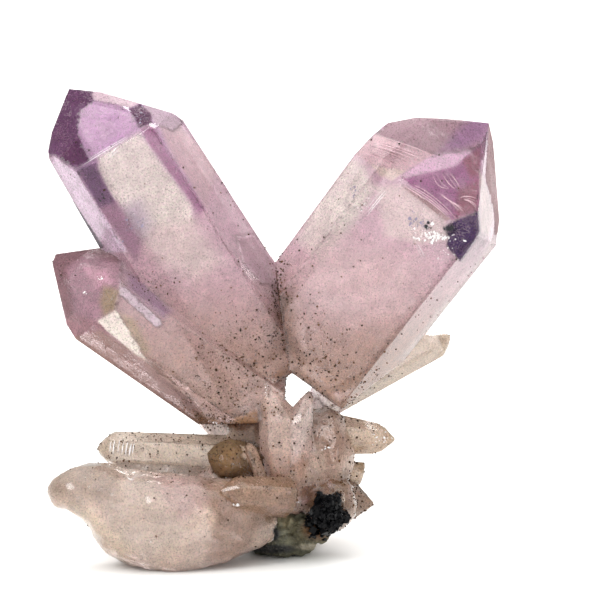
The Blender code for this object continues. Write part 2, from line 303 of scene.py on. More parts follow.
def milky_solid(name):
    """The blunt, wavy crystal at the lower left, lofted through its stations."""
    def boxed(value):
        return math.copysign(abs(value) ** 0.85, value)

    bm = bmesh.new()
    rings = []
    stations = np.array(MILKY_STATIONS)
    padded = np.vstack([2 * stations[0] - stations[1], stations, 2 * stations[-1] - stations[-2]])
    places = np.linspace(0, len(stations) - 1, MILKY_RINGS)
    for place in places:
        i = min(int(place), len(stations) - 2)
        t = place - i
        a, b, c, d = padded[i:i + 4]
        u, top, bottom, near, far = 0.5 * (2 * b + (c - a) * t + (2 * a - 5 * b + 4 * c - d) * t ** 2
                                           + (3 * b - a - 3 * c + d) * t ** 3)
        ring = []
        for k in range(MILKY_POINTS):
            angle = 2 * math.pi * k / MILKY_POINTS
            w = (near + far) / 2 + (far - near) / 2 * boxed(math.cos(angle))
            v = (top + bottom) / 2 + (top - bottom) / 2 * boxed(math.sin(angle))
            ripple = 0.35 * noise.noise(Vector((u, w, v)) * 0.32)
            ring.append(bm.verts.new(face_point(u, w + ripple * math.cos(angle),
                                                v + ripple * math.sin(angle))))
        rings.append(ring)
    for ring, after_ring in zip(rings, rings[1:]):
        for k in range(MILKY_POINTS):
            after = (k + 1) % MILKY_POINTS
            bm.faces.new((ring[k], ring[after], after_ring[after], after_ring[k]))
    bm.faces.new(rings[0])
    bm.faces.new(rings[-1])
    bmesh.ops.recalc_face_normals(bm, faces=bm.faces[:])
    return mesh_object(name, bm)


def floor_block():
    bm = bmesh.new()
    bmesh.ops.create_cube(bm, size=BLANK_SIZE * MM)
    bmesh.ops.translate(bm, verts=bm.verts[:], vec=(0, 0, -BLANK_SIZE * MM / 2))
    return mesh_object("below_rest_plane", bm)


def combine(body, additions, cutters):
    """Join solids to a body, cut others away, and delete the helpers."""
    for other, operation in [(o, "UNION") for o in additions] + [(o, "DIFFERENCE") for o in cutters]:
        modifier = body.modifiers.new(other.name, "BOOLEAN")
        modifier.operation = operation
        modifier.solver = "EXACT"
        modifier.object = other
    graph = bpy.context.evaluated_depsgraph_get()
    mesh = bpy.data.meshes.new_from_object(body.evaluated_get(graph))
    if not mesh.polygons:
        raise RuntimeError(f"{body.name}: nothing is left after joining and cutting its solids")
    body.modifiers.clear()
    body.data = mesh
    for other in additions + cutters:
        bpy.data.objects.remove(other)


def refine(obj, longest, fine_box=None, fine=None):
    """Split long edges until the surface has short, even triangles, keeping every flat face flat."""
    def limit(edge):
        if fine_box is not None:
            middle = (edge.verts[0].co + edge.verts[1].co) / 2
            if all(fine_box[0][i] < middle[i] < fine_box[1][i] for i in range(3)):
                return fine
        return longest

    with edited(obj.data) as bm:
        bmesh.ops.remove_doubles(bm, verts=bm.verts[:], dist=2e-6)
        bmesh.ops.dissolve_degenerate(bm, edges=bm.edges[:], dist=1e-5)
        bmesh.ops.dissolve_limit(bm, angle_limit=math.radians(0.4), verts=bm.verts[:], edges=bm.edges[:],
                                 use_dissolve_boundaries=False)
        bmesh.ops.triangulate(bm, faces=bm.faces[:], quad_method="BEAUTY", ngon_method="BEAUTY")
        for _ in range(12):
            long_edges = [edge for edge in bm.edges if edge.calc_length() > limit(edge)]
            if not long_edges:
                break
            bmesh.ops.subdivide_edges(bm, edges=long_edges, cuts=1)
            bmesh.ops.triangulate(bm, faces=[f for f in bm.faces if len(f.verts) > 3],
                                  quad_method="SHORT_EDGE", ngon_method="BEAUTY")


def mesh_arrays(mesh):
    points = np.empty(len(mesh.vertices) * 3)
    mesh.vertices.foreach_get("co", points)
    normals = np.empty(len(mesh.vertices) * 3)
    mesh.vertices.foreach_get("normal", normals)
    return points.reshape(-1, 3), normals.reshape(-1, 3)


def move_points(mesh, points, lowest=None):
    """Give a mesh new places for its points, none of them under the lowest height."""
    if lowest is not None:
        points[:, 2] = np.maximum(points[:, 2], lowest)
    mesh.vertices.foreach_set("co", points.ravel())


def store_tints(mesh, domain, tints):
    """Keep a colour for each point, or for each corner of the faces."""
    colours = np.ones((len(tints), 4), np.float32)
    colours[:, :3] = tints
    mesh.attributes.new("tint", "FLOAT_COLOR", domain).data.foreach_set("color", colours.ravel())


def smooth_noise(points, scale, seed, octaves=3):
    """Noise of about -1 to 1 at each point, for points in millimetres."""
    offset = Vector((seed * 7.3, seed * 3.1, seed * 5.7))
    values = [noise.fractal(Vector(p) * scale + offset, 1.0, 2.0, octaves) for p in points]
    return np.array(values)


def step(low, high, x):
    """A smooth step from 0 at low to 1 at high."""
    t = np.clip((x - low) / (high - low), 0, 1)
    return t * t * (3 - 2 * t)


def inside_distance(px, py, outline):
    """Distance in pixels to an outline, positive inside it."""
    outline = np.array(outline, float)
    best = np.full(px.shape, 1e9)
    inside = np.zeros(px.shape, bool)
    for a, b in zip(outline, np.roll(outline, -1, 0)):
        d = b - a
        t = np.clip(((px - a[0]) * d[0] + (py - a[1]) * d[1]) / (d @ d), 0, 1)
        best = np.minimum(best, np.hypot(px - a[0] - t * d[0], py - a[1] - t * d[1]))
        crosses = (a[1] > py) != (b[1] > py)
        if abs(d[1]) > 1e-9:
            inside ^= crosses & (px < a[0] + (py - a[1]) * d[0] / d[1])
    return np.where(inside, best, -best)


# Zones seen on the display face: crystal, palette colour, cover, softness in display
# pixels and outline in display pixels. They are partly the quartz's own colour zoning and
# partly painted light: the bright windows and dark facets and rims that refraction and internal
# reflection show in the tips are painted reflections and painted shade, and milk_shade and
# milk_junction_shade are painted shade on the milky root. Later zones lie over earlier ones,
# and zones with at least FILM_COVER lie on the surface.
ZONES = (
    ("left", "lilac", 0.55, 14, ((60, 80), (100, 85), (160, 98), (205, 170), (190, 215), (110, 215),
        (70, 170), (45, 140))),
    ("left", "violet", 0.92, 1.2, ((69, 84), (98, 90), (94, 101), (82, 109), (78, 134), (82, 143),
        (58, 157), (48, 154), (46, 130), (52, 118))),
    ("left", "ink_violet", 0.9, 1.5, ((58, 157), (80, 138), (87, 155), (91, 160), (76, 168), (61, 162))),
    ("left", "lilac", 0.7, 0.8, ((82.5, 109), (95, 101.5), (127, 107.5), (140, 127), (137, 131),
        (97, 156), (90, 160), (81, 140), (78, 134))),
    ("left", "rose", 0.5, 3.0, ((153, 113), (163, 108), (216, 165), (206, 208), (170, 152))),
    ("left", "rose_lilac", 0.87, 2.0, ((139, 96), (168, 104), (184, 122), (174, 132), (154, 124),
        (148, 112), (139, 102))),
    ("left", "rose_pale", 0.87, 0.8, ((92, 95), (96, 86), (134, 91), (141, 102), (131, 108), (95, 101))),
    ("left", "ink_violet", 0.88, 1.0, ((128, 109), (140, 103), (151, 113), (153, 123), (140, 128))),
    ("left", "plum", 0.65, 1.5, ((140, 128), (153, 124), (167, 153), (205, 209), (200, 214), (151, 148))),
    ("left", "pearl", 0.80, 2.5, ((98, 157), (140, 132), (151, 148), (192, 204), (194, 226), (142, 238),
        (110, 195), (98, 170))),
    ("left", "rose_white", 0.60, 12, ((130, 228), (195, 222), (222, 262), (196, 280), (158, 262))),
    ("left", "blue_grey", 0.55, 11, ((122, 208), (140, 202), (150, 226), (142, 238), (128, 234))),
    ("left", "ink", 0.82, 1.5, ((74, 169), (95, 163), (98, 170), (104, 182), (116, 202), (115, 207),
        (99, 208))),
    ("left", "mauve_mid", 0.62, 4.0, ((99, 208), (116, 202), (130, 223), (142, 243), (136, 262),
        (112, 226))),
    ("left", "lilac_white", 0.78, 1.0, ((55, 156), (76, 171), (99, 207), (128, 252), (100, 252),
        (50, 172))),
    ("left", "ink_grey", 0.9, 0.8, ((50, 170), (58, 178), (104, 247), (98, 250))),
    ("right", "mauve", 0.86, 1.0, ((374, 136), (391, 118), (426, 109), (496, 116), (484, 136), (481, 145),
        (471, 151.5), (434, 155), (383, 139))),
    ("right", "violet_pale", 0.87, 6.0, ((470, 118), (496, 116), (483, 140), (462, 150), (440, 152),
        (455, 132))),
    ("right", "rose", 0.7, 1.2, ((353, 153), (376, 134), (434, 155), (406, 171), (371, 165))),
    ("right", "cream", 0.55, 1.2, ((371, 165), (406, 171), (392, 181), (380, 176))),
    ("right", "plum", 0.84, 1.0, ((404, 179), (453, 167), (481, 145), (478, 211), (452, 220),
        (430, 204))),
    ("right", "wine", 0.84, 5.0, ((458, 190), (480, 178), (478, 211), (455, 219))),
    ("right", "wine", 0.84, 3.0, ((462, 160), (481, 146), (480, 176), (470, 178))),
    ("right", "lilac_pale", 0.84, 0.8, ((397, 179), (426, 159), (439, 155), (471.5, 151.5), (453, 167))),
    ("right", "rose_white", 0.5, 4.0, ((376, 186), (401, 184), (446, 219), (450, 240), (420, 244),
        (384, 236))),
    ("right", "rose_brown", 0.6, 0.8, ((401, 186), (409, 188), (451, 219), (446, 221))),
    ("right", "ink_blue", 0.87, 1.0, ((453, 221), (478, 211), (480, 233), (460, 262), (446, 246))),
    ("right", "ink_black", 0.87, 1.5, ((443, 227), (452, 221), (458, 231), (447, 237))),
    ("right", "pearl_grey", 0.7, 1.2, ((479, 170), (484, 180), (493, 215), (488, 237), (480, 232))),
    ("right", "rose_grey", 0.86, 1.0, ((489, 118), (498, 128), (504, 200), (501, 240), (494, 236),
        (494, 214), (485, 178))),
    ("right", "pearl", 0.72, 7.0, ((352, 155), (366, 166), (376, 190), (352, 228), (320, 262), (296, 240),
        (322, 192))),
    ("right", "rose_soft", 0.60, 24, ((296, 262), (340, 240), (420, 262), (412, 310), (350, 322),
        (300, 300))),
    ("right", "pearl_grey", 0.6, 3.0, ((492, 238), (501, 242), (442, 332), (404, 392), (396, 388),
        (432, 328))),
    ("left", "body_film", 0.87, 4.0, ((236, 236), (254, 234), (280, 268), (280, 286), (262, 284),
        (242, 262))),
    ("low_left", "mauve_brown", 0.87, 2.0, ((50, 275), (53, 250), (99, 241), (131, 245), (122, 262),
        (110, 275), (80, 285), (76, 310), (92, 321), (72, 338))),
    ("low_left", "violet_brown", 0.86, 1.5, ((58, 330), (76, 310), (97, 320), (120, 338), (150, 376),
        (120, 376), (66, 342))),
    ("low_left", "rose_violet", 0.86, 4.0, ((67, 268), (88, 254), (122, 264), (121, 290), (112, 312),
        (97, 322), (74, 314), (70, 290))),
    ("low_left", "pink_glow", 0.86, 5.0, ((84, 268), (104, 270), (112, 282), (98, 288))),
    ("low_left", "olive", 0.86, 4.0, ((104, 286), (120, 290), (115, 311), (104, 316), (100, 302))),
    ("low_left", "mauve_low", 0.86, 2.0, ((100, 330), (124, 346), (150, 368), (205, 414), (216, 432),
        (190, 432), (118, 377), (62, 340))),
    ("low_left", "brown_film", 0.87, 4, ((124, 344), (142, 358), (205, 408), (196, 420), (150, 384))),
    ("low_left", "olive_pale", 0.66, 4.0, ((121, 314), (133, 318), (150, 350), (146, 358), (128, 330))),
    ("low_left", "cream_film", 0.88, 1.0, ((98, 321), (117, 310), (123, 320), (137, 342), (147, 359),
        (139, 357), (124, 345), (106, 330))),
    ("low_left", "violet_grey", 0.66, 5.0, ((126, 272), (144, 276), (172, 312), (163, 318), (128, 290))),
    ("low_left", "stripe_film", 0.88, 1.0, ((119, 287), (124, 286), (161, 320), (163, 326), (156, 328),
        (120, 295))),
    ("low_left", "grey_cream", 0.5, 4.0, ((128, 262), (140, 268), (178, 306), (166, 304))),
    ("low_left", "rust_film", 0.87, 6.0, ((196, 414), (228, 421), (264, 404), (264, 440), (226, 440),
        (198, 434))),
    ("left", "rust_film", 0.87, 6.0, ((214, 414), (264, 404), (270, 440), (226, 440))),
    ("root", "milk_pale", 0.80, 8, ((70, 458), (130, 460), (180, 490), (190, 540), (150, 560), (112, 535),
        (90, 495))),
    ("root", "cream_edge", 0.80, 5, ((56, 490), (72, 490), (96, 516), (136, 552), (120, 562), (84, 530))),
    ("root", "milk_shade", 0.80, 9, ((44, 456), (120, 456), (120, 496), (74, 506), (44, 492))),
    ("middle_left", "foot", 0.75, 7, ((244, 450), (302, 456), (302, 496), (244, 496))),
    ("middle_right", "foot", 0.75, 7, ((286, 456), (330, 456), (330, 496), (286, 496))),
    ("right", "pearl", 0.60, 4, ((400, 358), (446, 300), (456, 306), (412, 368))),
    ("root", "milk_rose", 0.70, 8, ((150, 475), (205, 470), (220, 500), (180, 520))),
    # Painted shade where the milky crystal meets the front stub.
    ("root", "milk_junction_shade", 0.70, 6, ((200, 478), (240, 490), (265, 520), (240, 560), (205, 560),
        (215, 520))),
    ("root", "umber", 0.70, 5, ((224, 402), (262, 408), (258, 448), (230, 440))),
    ("root", "umber", 0.70, 6, ((296, 478), (350, 470), (352, 512), (300, 512), (262, 522), (262, 500))),
    ("root", "rust_cream", 0.55, 8, ((262, 400), (330, 420), (352, 440), (330, 480), (318, 440),
        (262, 424))),
)
PALETTE = {
    "violet": (0.090, 0.038, 0.084), "violet_pale": (0.25, 0.14, 0.23),
    "ink_violet": (0.075, 0.028, 0.065), "plum": (0.54, 0.24, 0.47), "lilac": (0.72, 0.47, 0.74),
    "lilac_pale": (1.0, 0.78, 0.95), "lilac_white": (0.96, 0.84, 0.98), "rose": (0.92, 0.71, 0.76),
    "rose_white": (1.0, 0.90, 0.88), "rose_soft": (0.96, 0.78, 0.80), "rose_pale": (0.50, 0.38, 0.43),
    "rose_grey": (0.34, 0.24, 0.25), "rose_violet": (0.27, 0.16, 0.195), "rose_brown": (0.52, 0.34, 0.33),
    "cream": (1.0, 0.90, 0.80), "grey_cream": (0.66, 0.58, 0.48), "mauve": (0.29, 0.19, 0.22),
    "mauve_brown": (0.17, 0.092, 0.105), "violet_brown": (0.27, 0.15, 0.17), "ink": (0.27, 0.15, 0.30),
    "ink_blue": (0.046, 0.026, 0.070), "ink_grey": (0.14, 0.13, 0.15), "blue_grey": (0.72, 0.66, 0.76),
    "rust_cream": (0.72, 0.52, 0.40), "umber": (0.52, 0.38, 0.26), "milk_pale": (0.88, 0.79, 0.71),
    # glint_white is the colour of painted glints.
    "milk_rose": (0.88, 0.72, 0.68), "milk_junction_shade": (0.68, 0.52, 0.42), "glint_white": (1.0, 0.97, 0.97),
    "streak_pink": (0.84, 0.57, 0.64), "streak_brown": (0.28, 0.15, 0.16),
    "rose_lilac": (0.37, 0.275, 0.335), "mauve_mid": (0.56, 0.36, 0.50), "pearl": (1.0, 0.95, 0.92),
    "pearl_grey": (0.84, 0.74, 0.74), "wine": (0.46, 0.18, 0.27), "ink_black": (0.02, 0.012, 0.03),
    "pink_glow": (0.44, 0.25, 0.31), "olive": (0.25, 0.18, 0.12), "olive_pale": (0.74, 0.62, 0.46),
    "mauve_low": (0.24, 0.145, 0.13), "cream_film": (0.66, 0.585, 0.54),
    "stripe_film": (0.46, 0.37, 0.42), "violet_grey": (0.50, 0.33, 0.50),
    "rust_film": (0.155, 0.088, 0.055), "cream_edge": (0.96, 0.86, 0.72), "body_film": (0.36, 0.24, 0.28),
    "brown_film": (0.27, 0.175, 0.165), "milk_shade": (0.66, 0.56, 0.47), "foot": (0.72, 0.50, 0.38),
    "black": (0.01, 0.01, 0.015), "cloud_blue": (0.30, 0.27, 0.38),
}
# Colour and cover of the small crystals
SMALL_FINISH = {
    "middle_left": ((1.0, 0.84, 0.76), 0.72), "middle_right": ((1.0, 0.87, 0.82), 0.72),
    "behind_right": ((0.94, 0.84, 0.70), 0.50), "right_upper": ((0.94, 0.78, 0.60), 0.62),
    "right_middle": ((0.94, 0.78, 0.58), 0.60), "right_lower": ((0.58, 0.42, 0.30), 0.72),
    "left_upper": ((0.95, 0.85, 0.72), 0.64), "brown_stub": ((0.14, 0.088, 0.048), 0.88),
    "front_stub": ((0.66, 0.49, 0.36), 0.76), "spur": ((0.78, 0.60, 0.48), 0.70),
    "bridge": ((0.86, 0.70, 0.56), 0.60),
}
# Thin growth streaks, and white ones that are painted glints: colour, count, half width in mm, first and last
# curve in display pixels
STREAK_FANS = (
    ("streak_pink", 5, 0.055, ((431, 173), (438, 186), (450, 188)), ((449, 172), (457, 182), (461, 191))),
    ("streak_pink", 4, 0.065, ((458, 199), (467, 196), (478, 199)), ((463, 200), (471, 203), (477, 211))),
    ("streak_pink", 5, 0.050, ((437, 191), (450, 202), (460, 214)), ((441, 197), (454, 203), (467, 211))),
    ("streak_pink", 4, 0.080, ((400, 184), (425, 199), (449, 218)), ((406, 182), (432, 196), (456, 219))),
    ("streak_brown", 3, 0.090, ((403, 187), (424, 202), (443, 218)), ((405, 185), (428, 201), (447, 218))),
    ("streak_pink", 7, 0.085, ((375, 137), (404, 145), (432, 156)), ((357, 153), (385, 160), (405, 171))),
    ("streak_brown", 6, 0.070, ((373, 141), (400, 150), (422, 159)), ((362, 152), (384, 158), (404, 168))),
    ("glint_white", 2, 0.050, ((413, 240), (418, 250), (423, 260)), ((415, 240), (420, 249), (425, 258))),
    ("glint_white", 3, 0.060, ((384, 187), (373, 200), (363, 214)), ((390, 188), (378, 202), (366, 217))),
    ("glint_white", 2, 0.050, ((104, 161), (112, 153), (120, 145)), ((107, 160), (114, 154), (121, 147))),
    ("glint_white", 2, 0.045, ((76, 168), (106, 148), (140, 130)), ((78, 169), (108, 150), (141, 131))),
    ("glint_white", 7, 0.130, ((111, 439), (110, 446), (109, 455)), ((136, 441), (134, 449), (133, 456))),
    ("glint_white", 2, 0.070, ((125, 473), (130, 479), (138, 474)), ((126, 475), (131, 480), (137, 476))),
)
# Fracture flakes, the white ones painted glints: colour, count, centre and reach in display pixels, size in
# mm
FLAKE_FIELDS = (
    ("glint_white", 62, (436, 237), (15, 4), 0.38), ("glint_white", 26, (425, 232), (13, 7), 0.24),
    ("cloud_blue", 46, (417, 222), (10, 7), 0.22), ("black", 10, (427, 227), (3, 3), 0.55),
    ("black", 12, (448, 228), (4, 3), 0.45), ("glint_white", 14, (441, 252), (12, 8), 0.16),
    ("glint_white", 22, (362, 200), (10, 12), 0.18), ("cloud_blue", 12, (354, 192), (3, 5), 0.26),
    ("cloud_blue", 40, (134, 224), (12, 12), 0.20), ("cloud_blue", 26, (139, 115), (8, 8), 0.20),
    ("black", 16, (84, 172), (9, 10), 0.20), ("black", 14, (102, 198), (5, 8), 0.24),
    ("glint_white", 8, (101, 279), (3, 2), 0.20), ("glint_white", 8, (86, 293), (3, 2), 0.18),
    ("glint_white", 10, (236, 505), (4, 1), 0.26), ("glint_white", 10, (216, 422), (5, 1.5), 0.26),
    ("glint_white", 8, (327, 448), (4, 1.5), 0.28), ("glint_white", 22, (380, 437), (10, 7), 0.26),
    ("glint_white", 10, (298, 503), (3, 3), 0.18), ("glint_white", 24, (100, 476), (34, 10), 0.12),
    ("glint_white", 20, (130, 545), (40, 10), 0.10), ("glint_white", 16, (266, 388), (2, 9), 0.16),
)
# Fields of grains: centre, reach in display pixels, weight
GRAIN_FIELDS = (
    (278, 290, 7, 34, 3.2), (286, 345, 44, 42, 1.1), (232, 362, 46, 34, 0.9), (338, 376, 34, 30, 0.8),
    (158, 284, 22, 10, 1.1), (215, 400, 40, 16, 0.8), (216, 420, 40, 7, 2.2), (130, 444, 44, 13, 1.1),
    (232, 456, 24, 14, 1.6), (280, 470, 26, 24, 0.5), (352, 500, 30, 22, 1.2), (344, 440, 44, 24, 0.5),
    (200, 480, 60, 30, 0.12), (255, 220, 60, 50, 0.07), (400, 260, 50, 60, 0.05),
)
GRAINS_EVERYWHERE = 0.02
GRAINS_BEHIND = 0.4
# Iron stains on the display face: centre and reach in display pixels, strength
STAIN_FIELDS = (
    (285, 318, 12, 45, 0.9), (232, 418, 45, 10, 0.5), (320, 498, 30, 26, 0.5), (236, 462, 24, 12, 0.4),
)
# The brown fade low on the large crystals: first and last display rows, the row where the root
# starts, the share of each colour channel that it takes, and its strength on low_left and the rest
BODY_FADE = (262, 390, 430, (0.28, 0.40, 0.54), 0.6, 1.1)
# The two colours that mottle each mineral; the rock's multiply its base and its spots
ROCK_BASE = (0.12, 0.115, 0.075)
ROCK_MOTTLE = ((0.62, 0.62, 0.60), (1.3, 1.3, 1.25))
BLACK_MOTTLE = ((0.001, 0.001, 0.0015), (0.005, 0.005, 0.006))
DARK_MOTTLE = ((0.018, 0.010, 0.007), (0.075, 0.040, 0.022))
RUST_MOTTLE = ((0.07, 0.032, 0.015), (0.17, 0.09, 0.045))
# Black crystals: count on their core and on the rock, mean width; how far the core shrinks, in mm;
# and the spot of the rock that carries some: centre and reach in display pixels
BLACK_CRYSTALS = (520, 70, 0.00036)
BLACK_CORE_SHRINK = -0.25
RUSTY_SPOT = (320, 529, 9, 8)
# Heights over the quartz of the streaks and of the flakes, and half the thickness of a flake
STREAK_LIFT = 0.00006
FLAKE_LIFT = (0.00006, 0.00014)
FLAKE_HALF = 0.00001
STREAK_STEPS = 14
# The stage, in metres: name, place, width and watts of each softbox, and the camera's view in mm
SOFTBOXES = (("softbox_left", (-0.45, -0.45, 0.55), 0.35, 2.2), ("softbox_back", (0.25, 0.6, 0.5), 0.5, 3.0))
LAMP_TARGET = (0, 0, 0.03)
STUDIO_COLOUR = (1.0, 0.995, 0.98, 1.0)
SENSOR_WIDTH = 36.0
VIEW_WIDTH = 84.0
BOUNCES = {"max_bounces": 10, "transmission_bounces": 10, "transparent_max_bounces": 12, "glossy_bounces": 6,
           "diffuse_bounces": 3}
# Spots of the host rock: colour, centre and reach in display pixels. The first is a painted highlight, and
# the fifth, a wide flat dark band at the bottom, a painted shadow where the rock meets the floor.
ROCK_SPOTS_AND_PAINTED_LIGHT = (
    ((0.42, 0.43, 0.36), 263, 516, 9, 9), ((0.24, 0.21, 0.13), 285, 520, 8, 8),
    ((0.07, 0.06, 0.03), 300, 533, 12, 12), ((0.012, 0.015, 0.018), 272, 534, 9, 8),
    ((0.02, 0.02, 0.02), 272, 549, 26, 5), ((0.10, 0.042, 0.012), 318, 528, 16, 13),
    ((0.36, 0.32, 0.25), 310, 547, 14, 3),
)


class QuartzShape(PropertyGroup):
    chamfer: FloatProperty(name="Edge chamfer", description="Width of the worn edges", default=0.00022,
                           unit="LENGTH")
    longest_edge: FloatProperty(name="Mesh size", description="Longest edge of the surface mesh",
                                default=0.0010, unit="LENGTH")
    fine_edge: FloatProperty(name="Fine mesh size", description="Longest edge where the tips show zones",
                             default=0.00052, unit="LENGTH")
    wave: FloatProperty(name="Surface wave", description="Depth of the broad unevenness of a face",
                        default=0.00003, unit="LENGTH")
    relief: FloatProperty(name="Root relief", description="Depth of the unevenness of the milky root",
                          default=0.00016, unit="LENGTH")
    small_chamfer: FloatProperty(name="Small chamfer", default=0.0006, unit="LENGTH",
                                 description="Width of the worn edges of small crystals")
    blunt: FloatProperty(name="Blunt tips", description="Depth worn off the tips of small crystals",
                         default=0.00030, unit="LENGTH")


class QuartzLook(PropertyGroup):
    pale: FloatVectorProperty(name="Pale quartz", description="Colour where the crystal has the least violet",
                              subtype="COLOR", default=(0.95, 0.88, 0.87))
    stain: FloatVectorProperty(name="Stain", description="Colour of the iron stains",
                               subtype="COLOR", default=(0.30, 0.13, 0.035))
    absorption: FloatVectorProperty(name="Absorption colour", subtype="COLOR", default=(0.72, 0.50, 0.60),
                                    description="Colour left by the light's way through")
    density: FloatProperty(name="Absorption density", description="Absorption per metre", default=30.0)
    cloud: FloatVectorProperty(name="Cloud", description="Colour of the haze in the large crystals",
                               subtype="COLOR", default=(0.87, 0.65, 0.76))
    tip_cloud: FloatVectorProperty(name="Tip cloud", description="Colour of the haze in the tips",
                                   subtype="COLOR", default=(0.66, 0.42, 0.66))
    cloud_milk: FloatVectorProperty(name="Milky cloud", description="Colour of the haze in the root",
                                    subtype="COLOR", default=(0.98, 0.85, 0.74))
    skin: FloatProperty(name="Clear skin", description="Clear quartz over the haze", default=0.00022,
                        unit="LENGTH")
    film: FloatProperty(name="Film height", description="Height of the densest zones over the surface",
                        default=0.00005, unit="LENGTH")
    core: FloatProperty(name="Core depth", description="Depth of the inner haze under the surface",
                        default=0.0028, unit="LENGTH")


class GrainLook(PropertyGroup):
    dark_count: IntProperty(name="Dark grains", description="Number of dark grains", default=3000)
    rust_count: IntProperty(name="Rust grains", description="Number of rust grains", default=1600)
    grain_size: FloatProperty(name="Grain size", description="Mean width of a grain", default=0.00020,
                              unit="LENGTH")


class StageLook(PropertyGroup):
    floor_radius: FloatProperty(name="Floor radius", description="Radius of the pale floor", default=2.0,
                                unit="LENGTH")
    floor_colour: FloatVectorProperty(name="Floor", description="Colour of the floor", subtype="COLOR",
                                      default=(0.93, 0.93, 0.92))
    toplight: FloatProperty(name="Top light", description="Strength of the world light from above",
                            default=2.0)
    sidelight: FloatProperty(name="Side light", description="Strength of the world light from around",
                             default=0.85)


class ClusterSettings(PropertyGroup):
    shape: PointerProperty(type=QuartzShape)
    quartz: PointerProperty(type=QuartzLook)
    grains: PointerProperty(type=GrainLook)
    stage: PointerProperty(type=StageLook)


def nodes_of(material):
    """A material's node tree with nothing but a Principled shader and its output."""
    material.use_nodes = True
    tree = material.node_tree
    tree.nodes.clear()
    output = tree.nodes.new("ShaderNodeOutputMaterial")
    shader = tree.nodes.new("ShaderNodeBsdfPrincipled")
    tree.links.new(shader.outputs[0], output.inputs["Surface"])
    return tree, shader, output


def new_group(name, inputs, outputs):
    """A shader node group with named float and colour sockets."""
    group = bpy.data.node_groups.new(name, "ShaderNodeTree")
    kinds = {"f": "NodeSocketFloat", "c": "NodeSocketColor"}
    for label, kind, default in inputs:
        socket = group.interface.new_socket(label, in_out="INPUT", socket_type=kinds[kind])
        if default is not None:
            socket.default_value = default
    for label, kind in outputs:
        group.interface.new_socket(label, in_out="OUTPUT", socket_type=kinds[kind])
    return group, group.nodes.new("NodeGroupInput"), group.nodes.new("NodeGroupOutput")


def attribute(tree, name, output="Fac"):
    """A value that is stored on the mesh, or with output "Color" a colour."""
    node = tree.nodes.new("ShaderNodeAttribute")
    node.attribute_name = name
    return node.outputs[output]


def colour4(values):
    return (*values[:3], 1.0)


def feed(tree, socket, value):
    """Link another node's output to a socket, or set the socket where the value is a plain one."""
    if isinstance(value, bpy.types.NodeSocket):
        tree.links.new(value, socket)
    else:
        socket.default_value = value


def math_node(tree, operation, first, second):
    node = tree.nodes.new("ShaderNodeMath")
    node.operation = operation
    feed(tree, node.inputs[0], first)
    feed(tree, node.inputs[1], second)
    return node.outputs[0]


def mix_colour(tree, factor, first, second, blend="MIX"):
    node = tree.nodes.new("ShaderNodeMix")
    node.data_type = "RGBA"
    node.blend_type = blend
    for socket, value in ((node.inputs["Factor"], factor), (node.inputs[6], first), (node.inputs[7], second)):
        feed(tree, socket, value)
    return node.outputs[2]


def noise_node(tree, vector, scale, detail=3.0, roughness=0.5, distortion=0.0):
    node = tree.nodes.new("ShaderNodeTexNoise")
    for label, value in (("Vector", vector), ("Scale", scale), ("Detail", detail), ("Roughness", roughness),
                         ("Distortion", distortion)):
        feed(tree, node.inputs[label], value)
    return node.outputs["Fac"]


def map_range(tree, value, low, high, to_low=0.0, to_high=1.0):
    node = tree.nodes.new("ShaderNodeMapRange")
    for label, source in (("Value", value), ("From Min", low), ("From Max", high), ("To Min", to_low),
                          ("To Max", to_high)):
        feed(tree, node.inputs[label], source)
    return node.outputs[0]


def object_coordinates(tree):
    return tree.nodes.new("ShaderNodeTexCoord").outputs["Object"]


def shared_group(build):
    """A node group that is built once, and after that placed again."""
    def group_of(*values):
        name = build.__name__
        return bpy.data.node_groups.get(name) or build(name, *values)
    return group_of


@shared_group
def iron_stain(name, look):
    """Iron stain in patches over a colour."""
    tree, source, sink = new_group(
        name, [("Colour", "c", None), ("Stain", "f", 0.0), ("Scale", "f", 900.0), ("Least", "f", 0.2)],
        [("Colour", "c")])
    patchy = noise_node(tree, object_coordinates(tree), source.outputs["Scale"], 5.0, 0.65)
    patchy = map_range(tree, patchy, 0.35, 0.65, source.outputs["Least"], 1.0)
    stained = math_node(tree, "MULTIPLY", source.outputs["Stain"], patchy)
    colour = mix_colour(tree, stained, source.outputs["Colour"], colour4(look.stain))
    feed(tree, sink.inputs["Colour"], colour)
    return tree


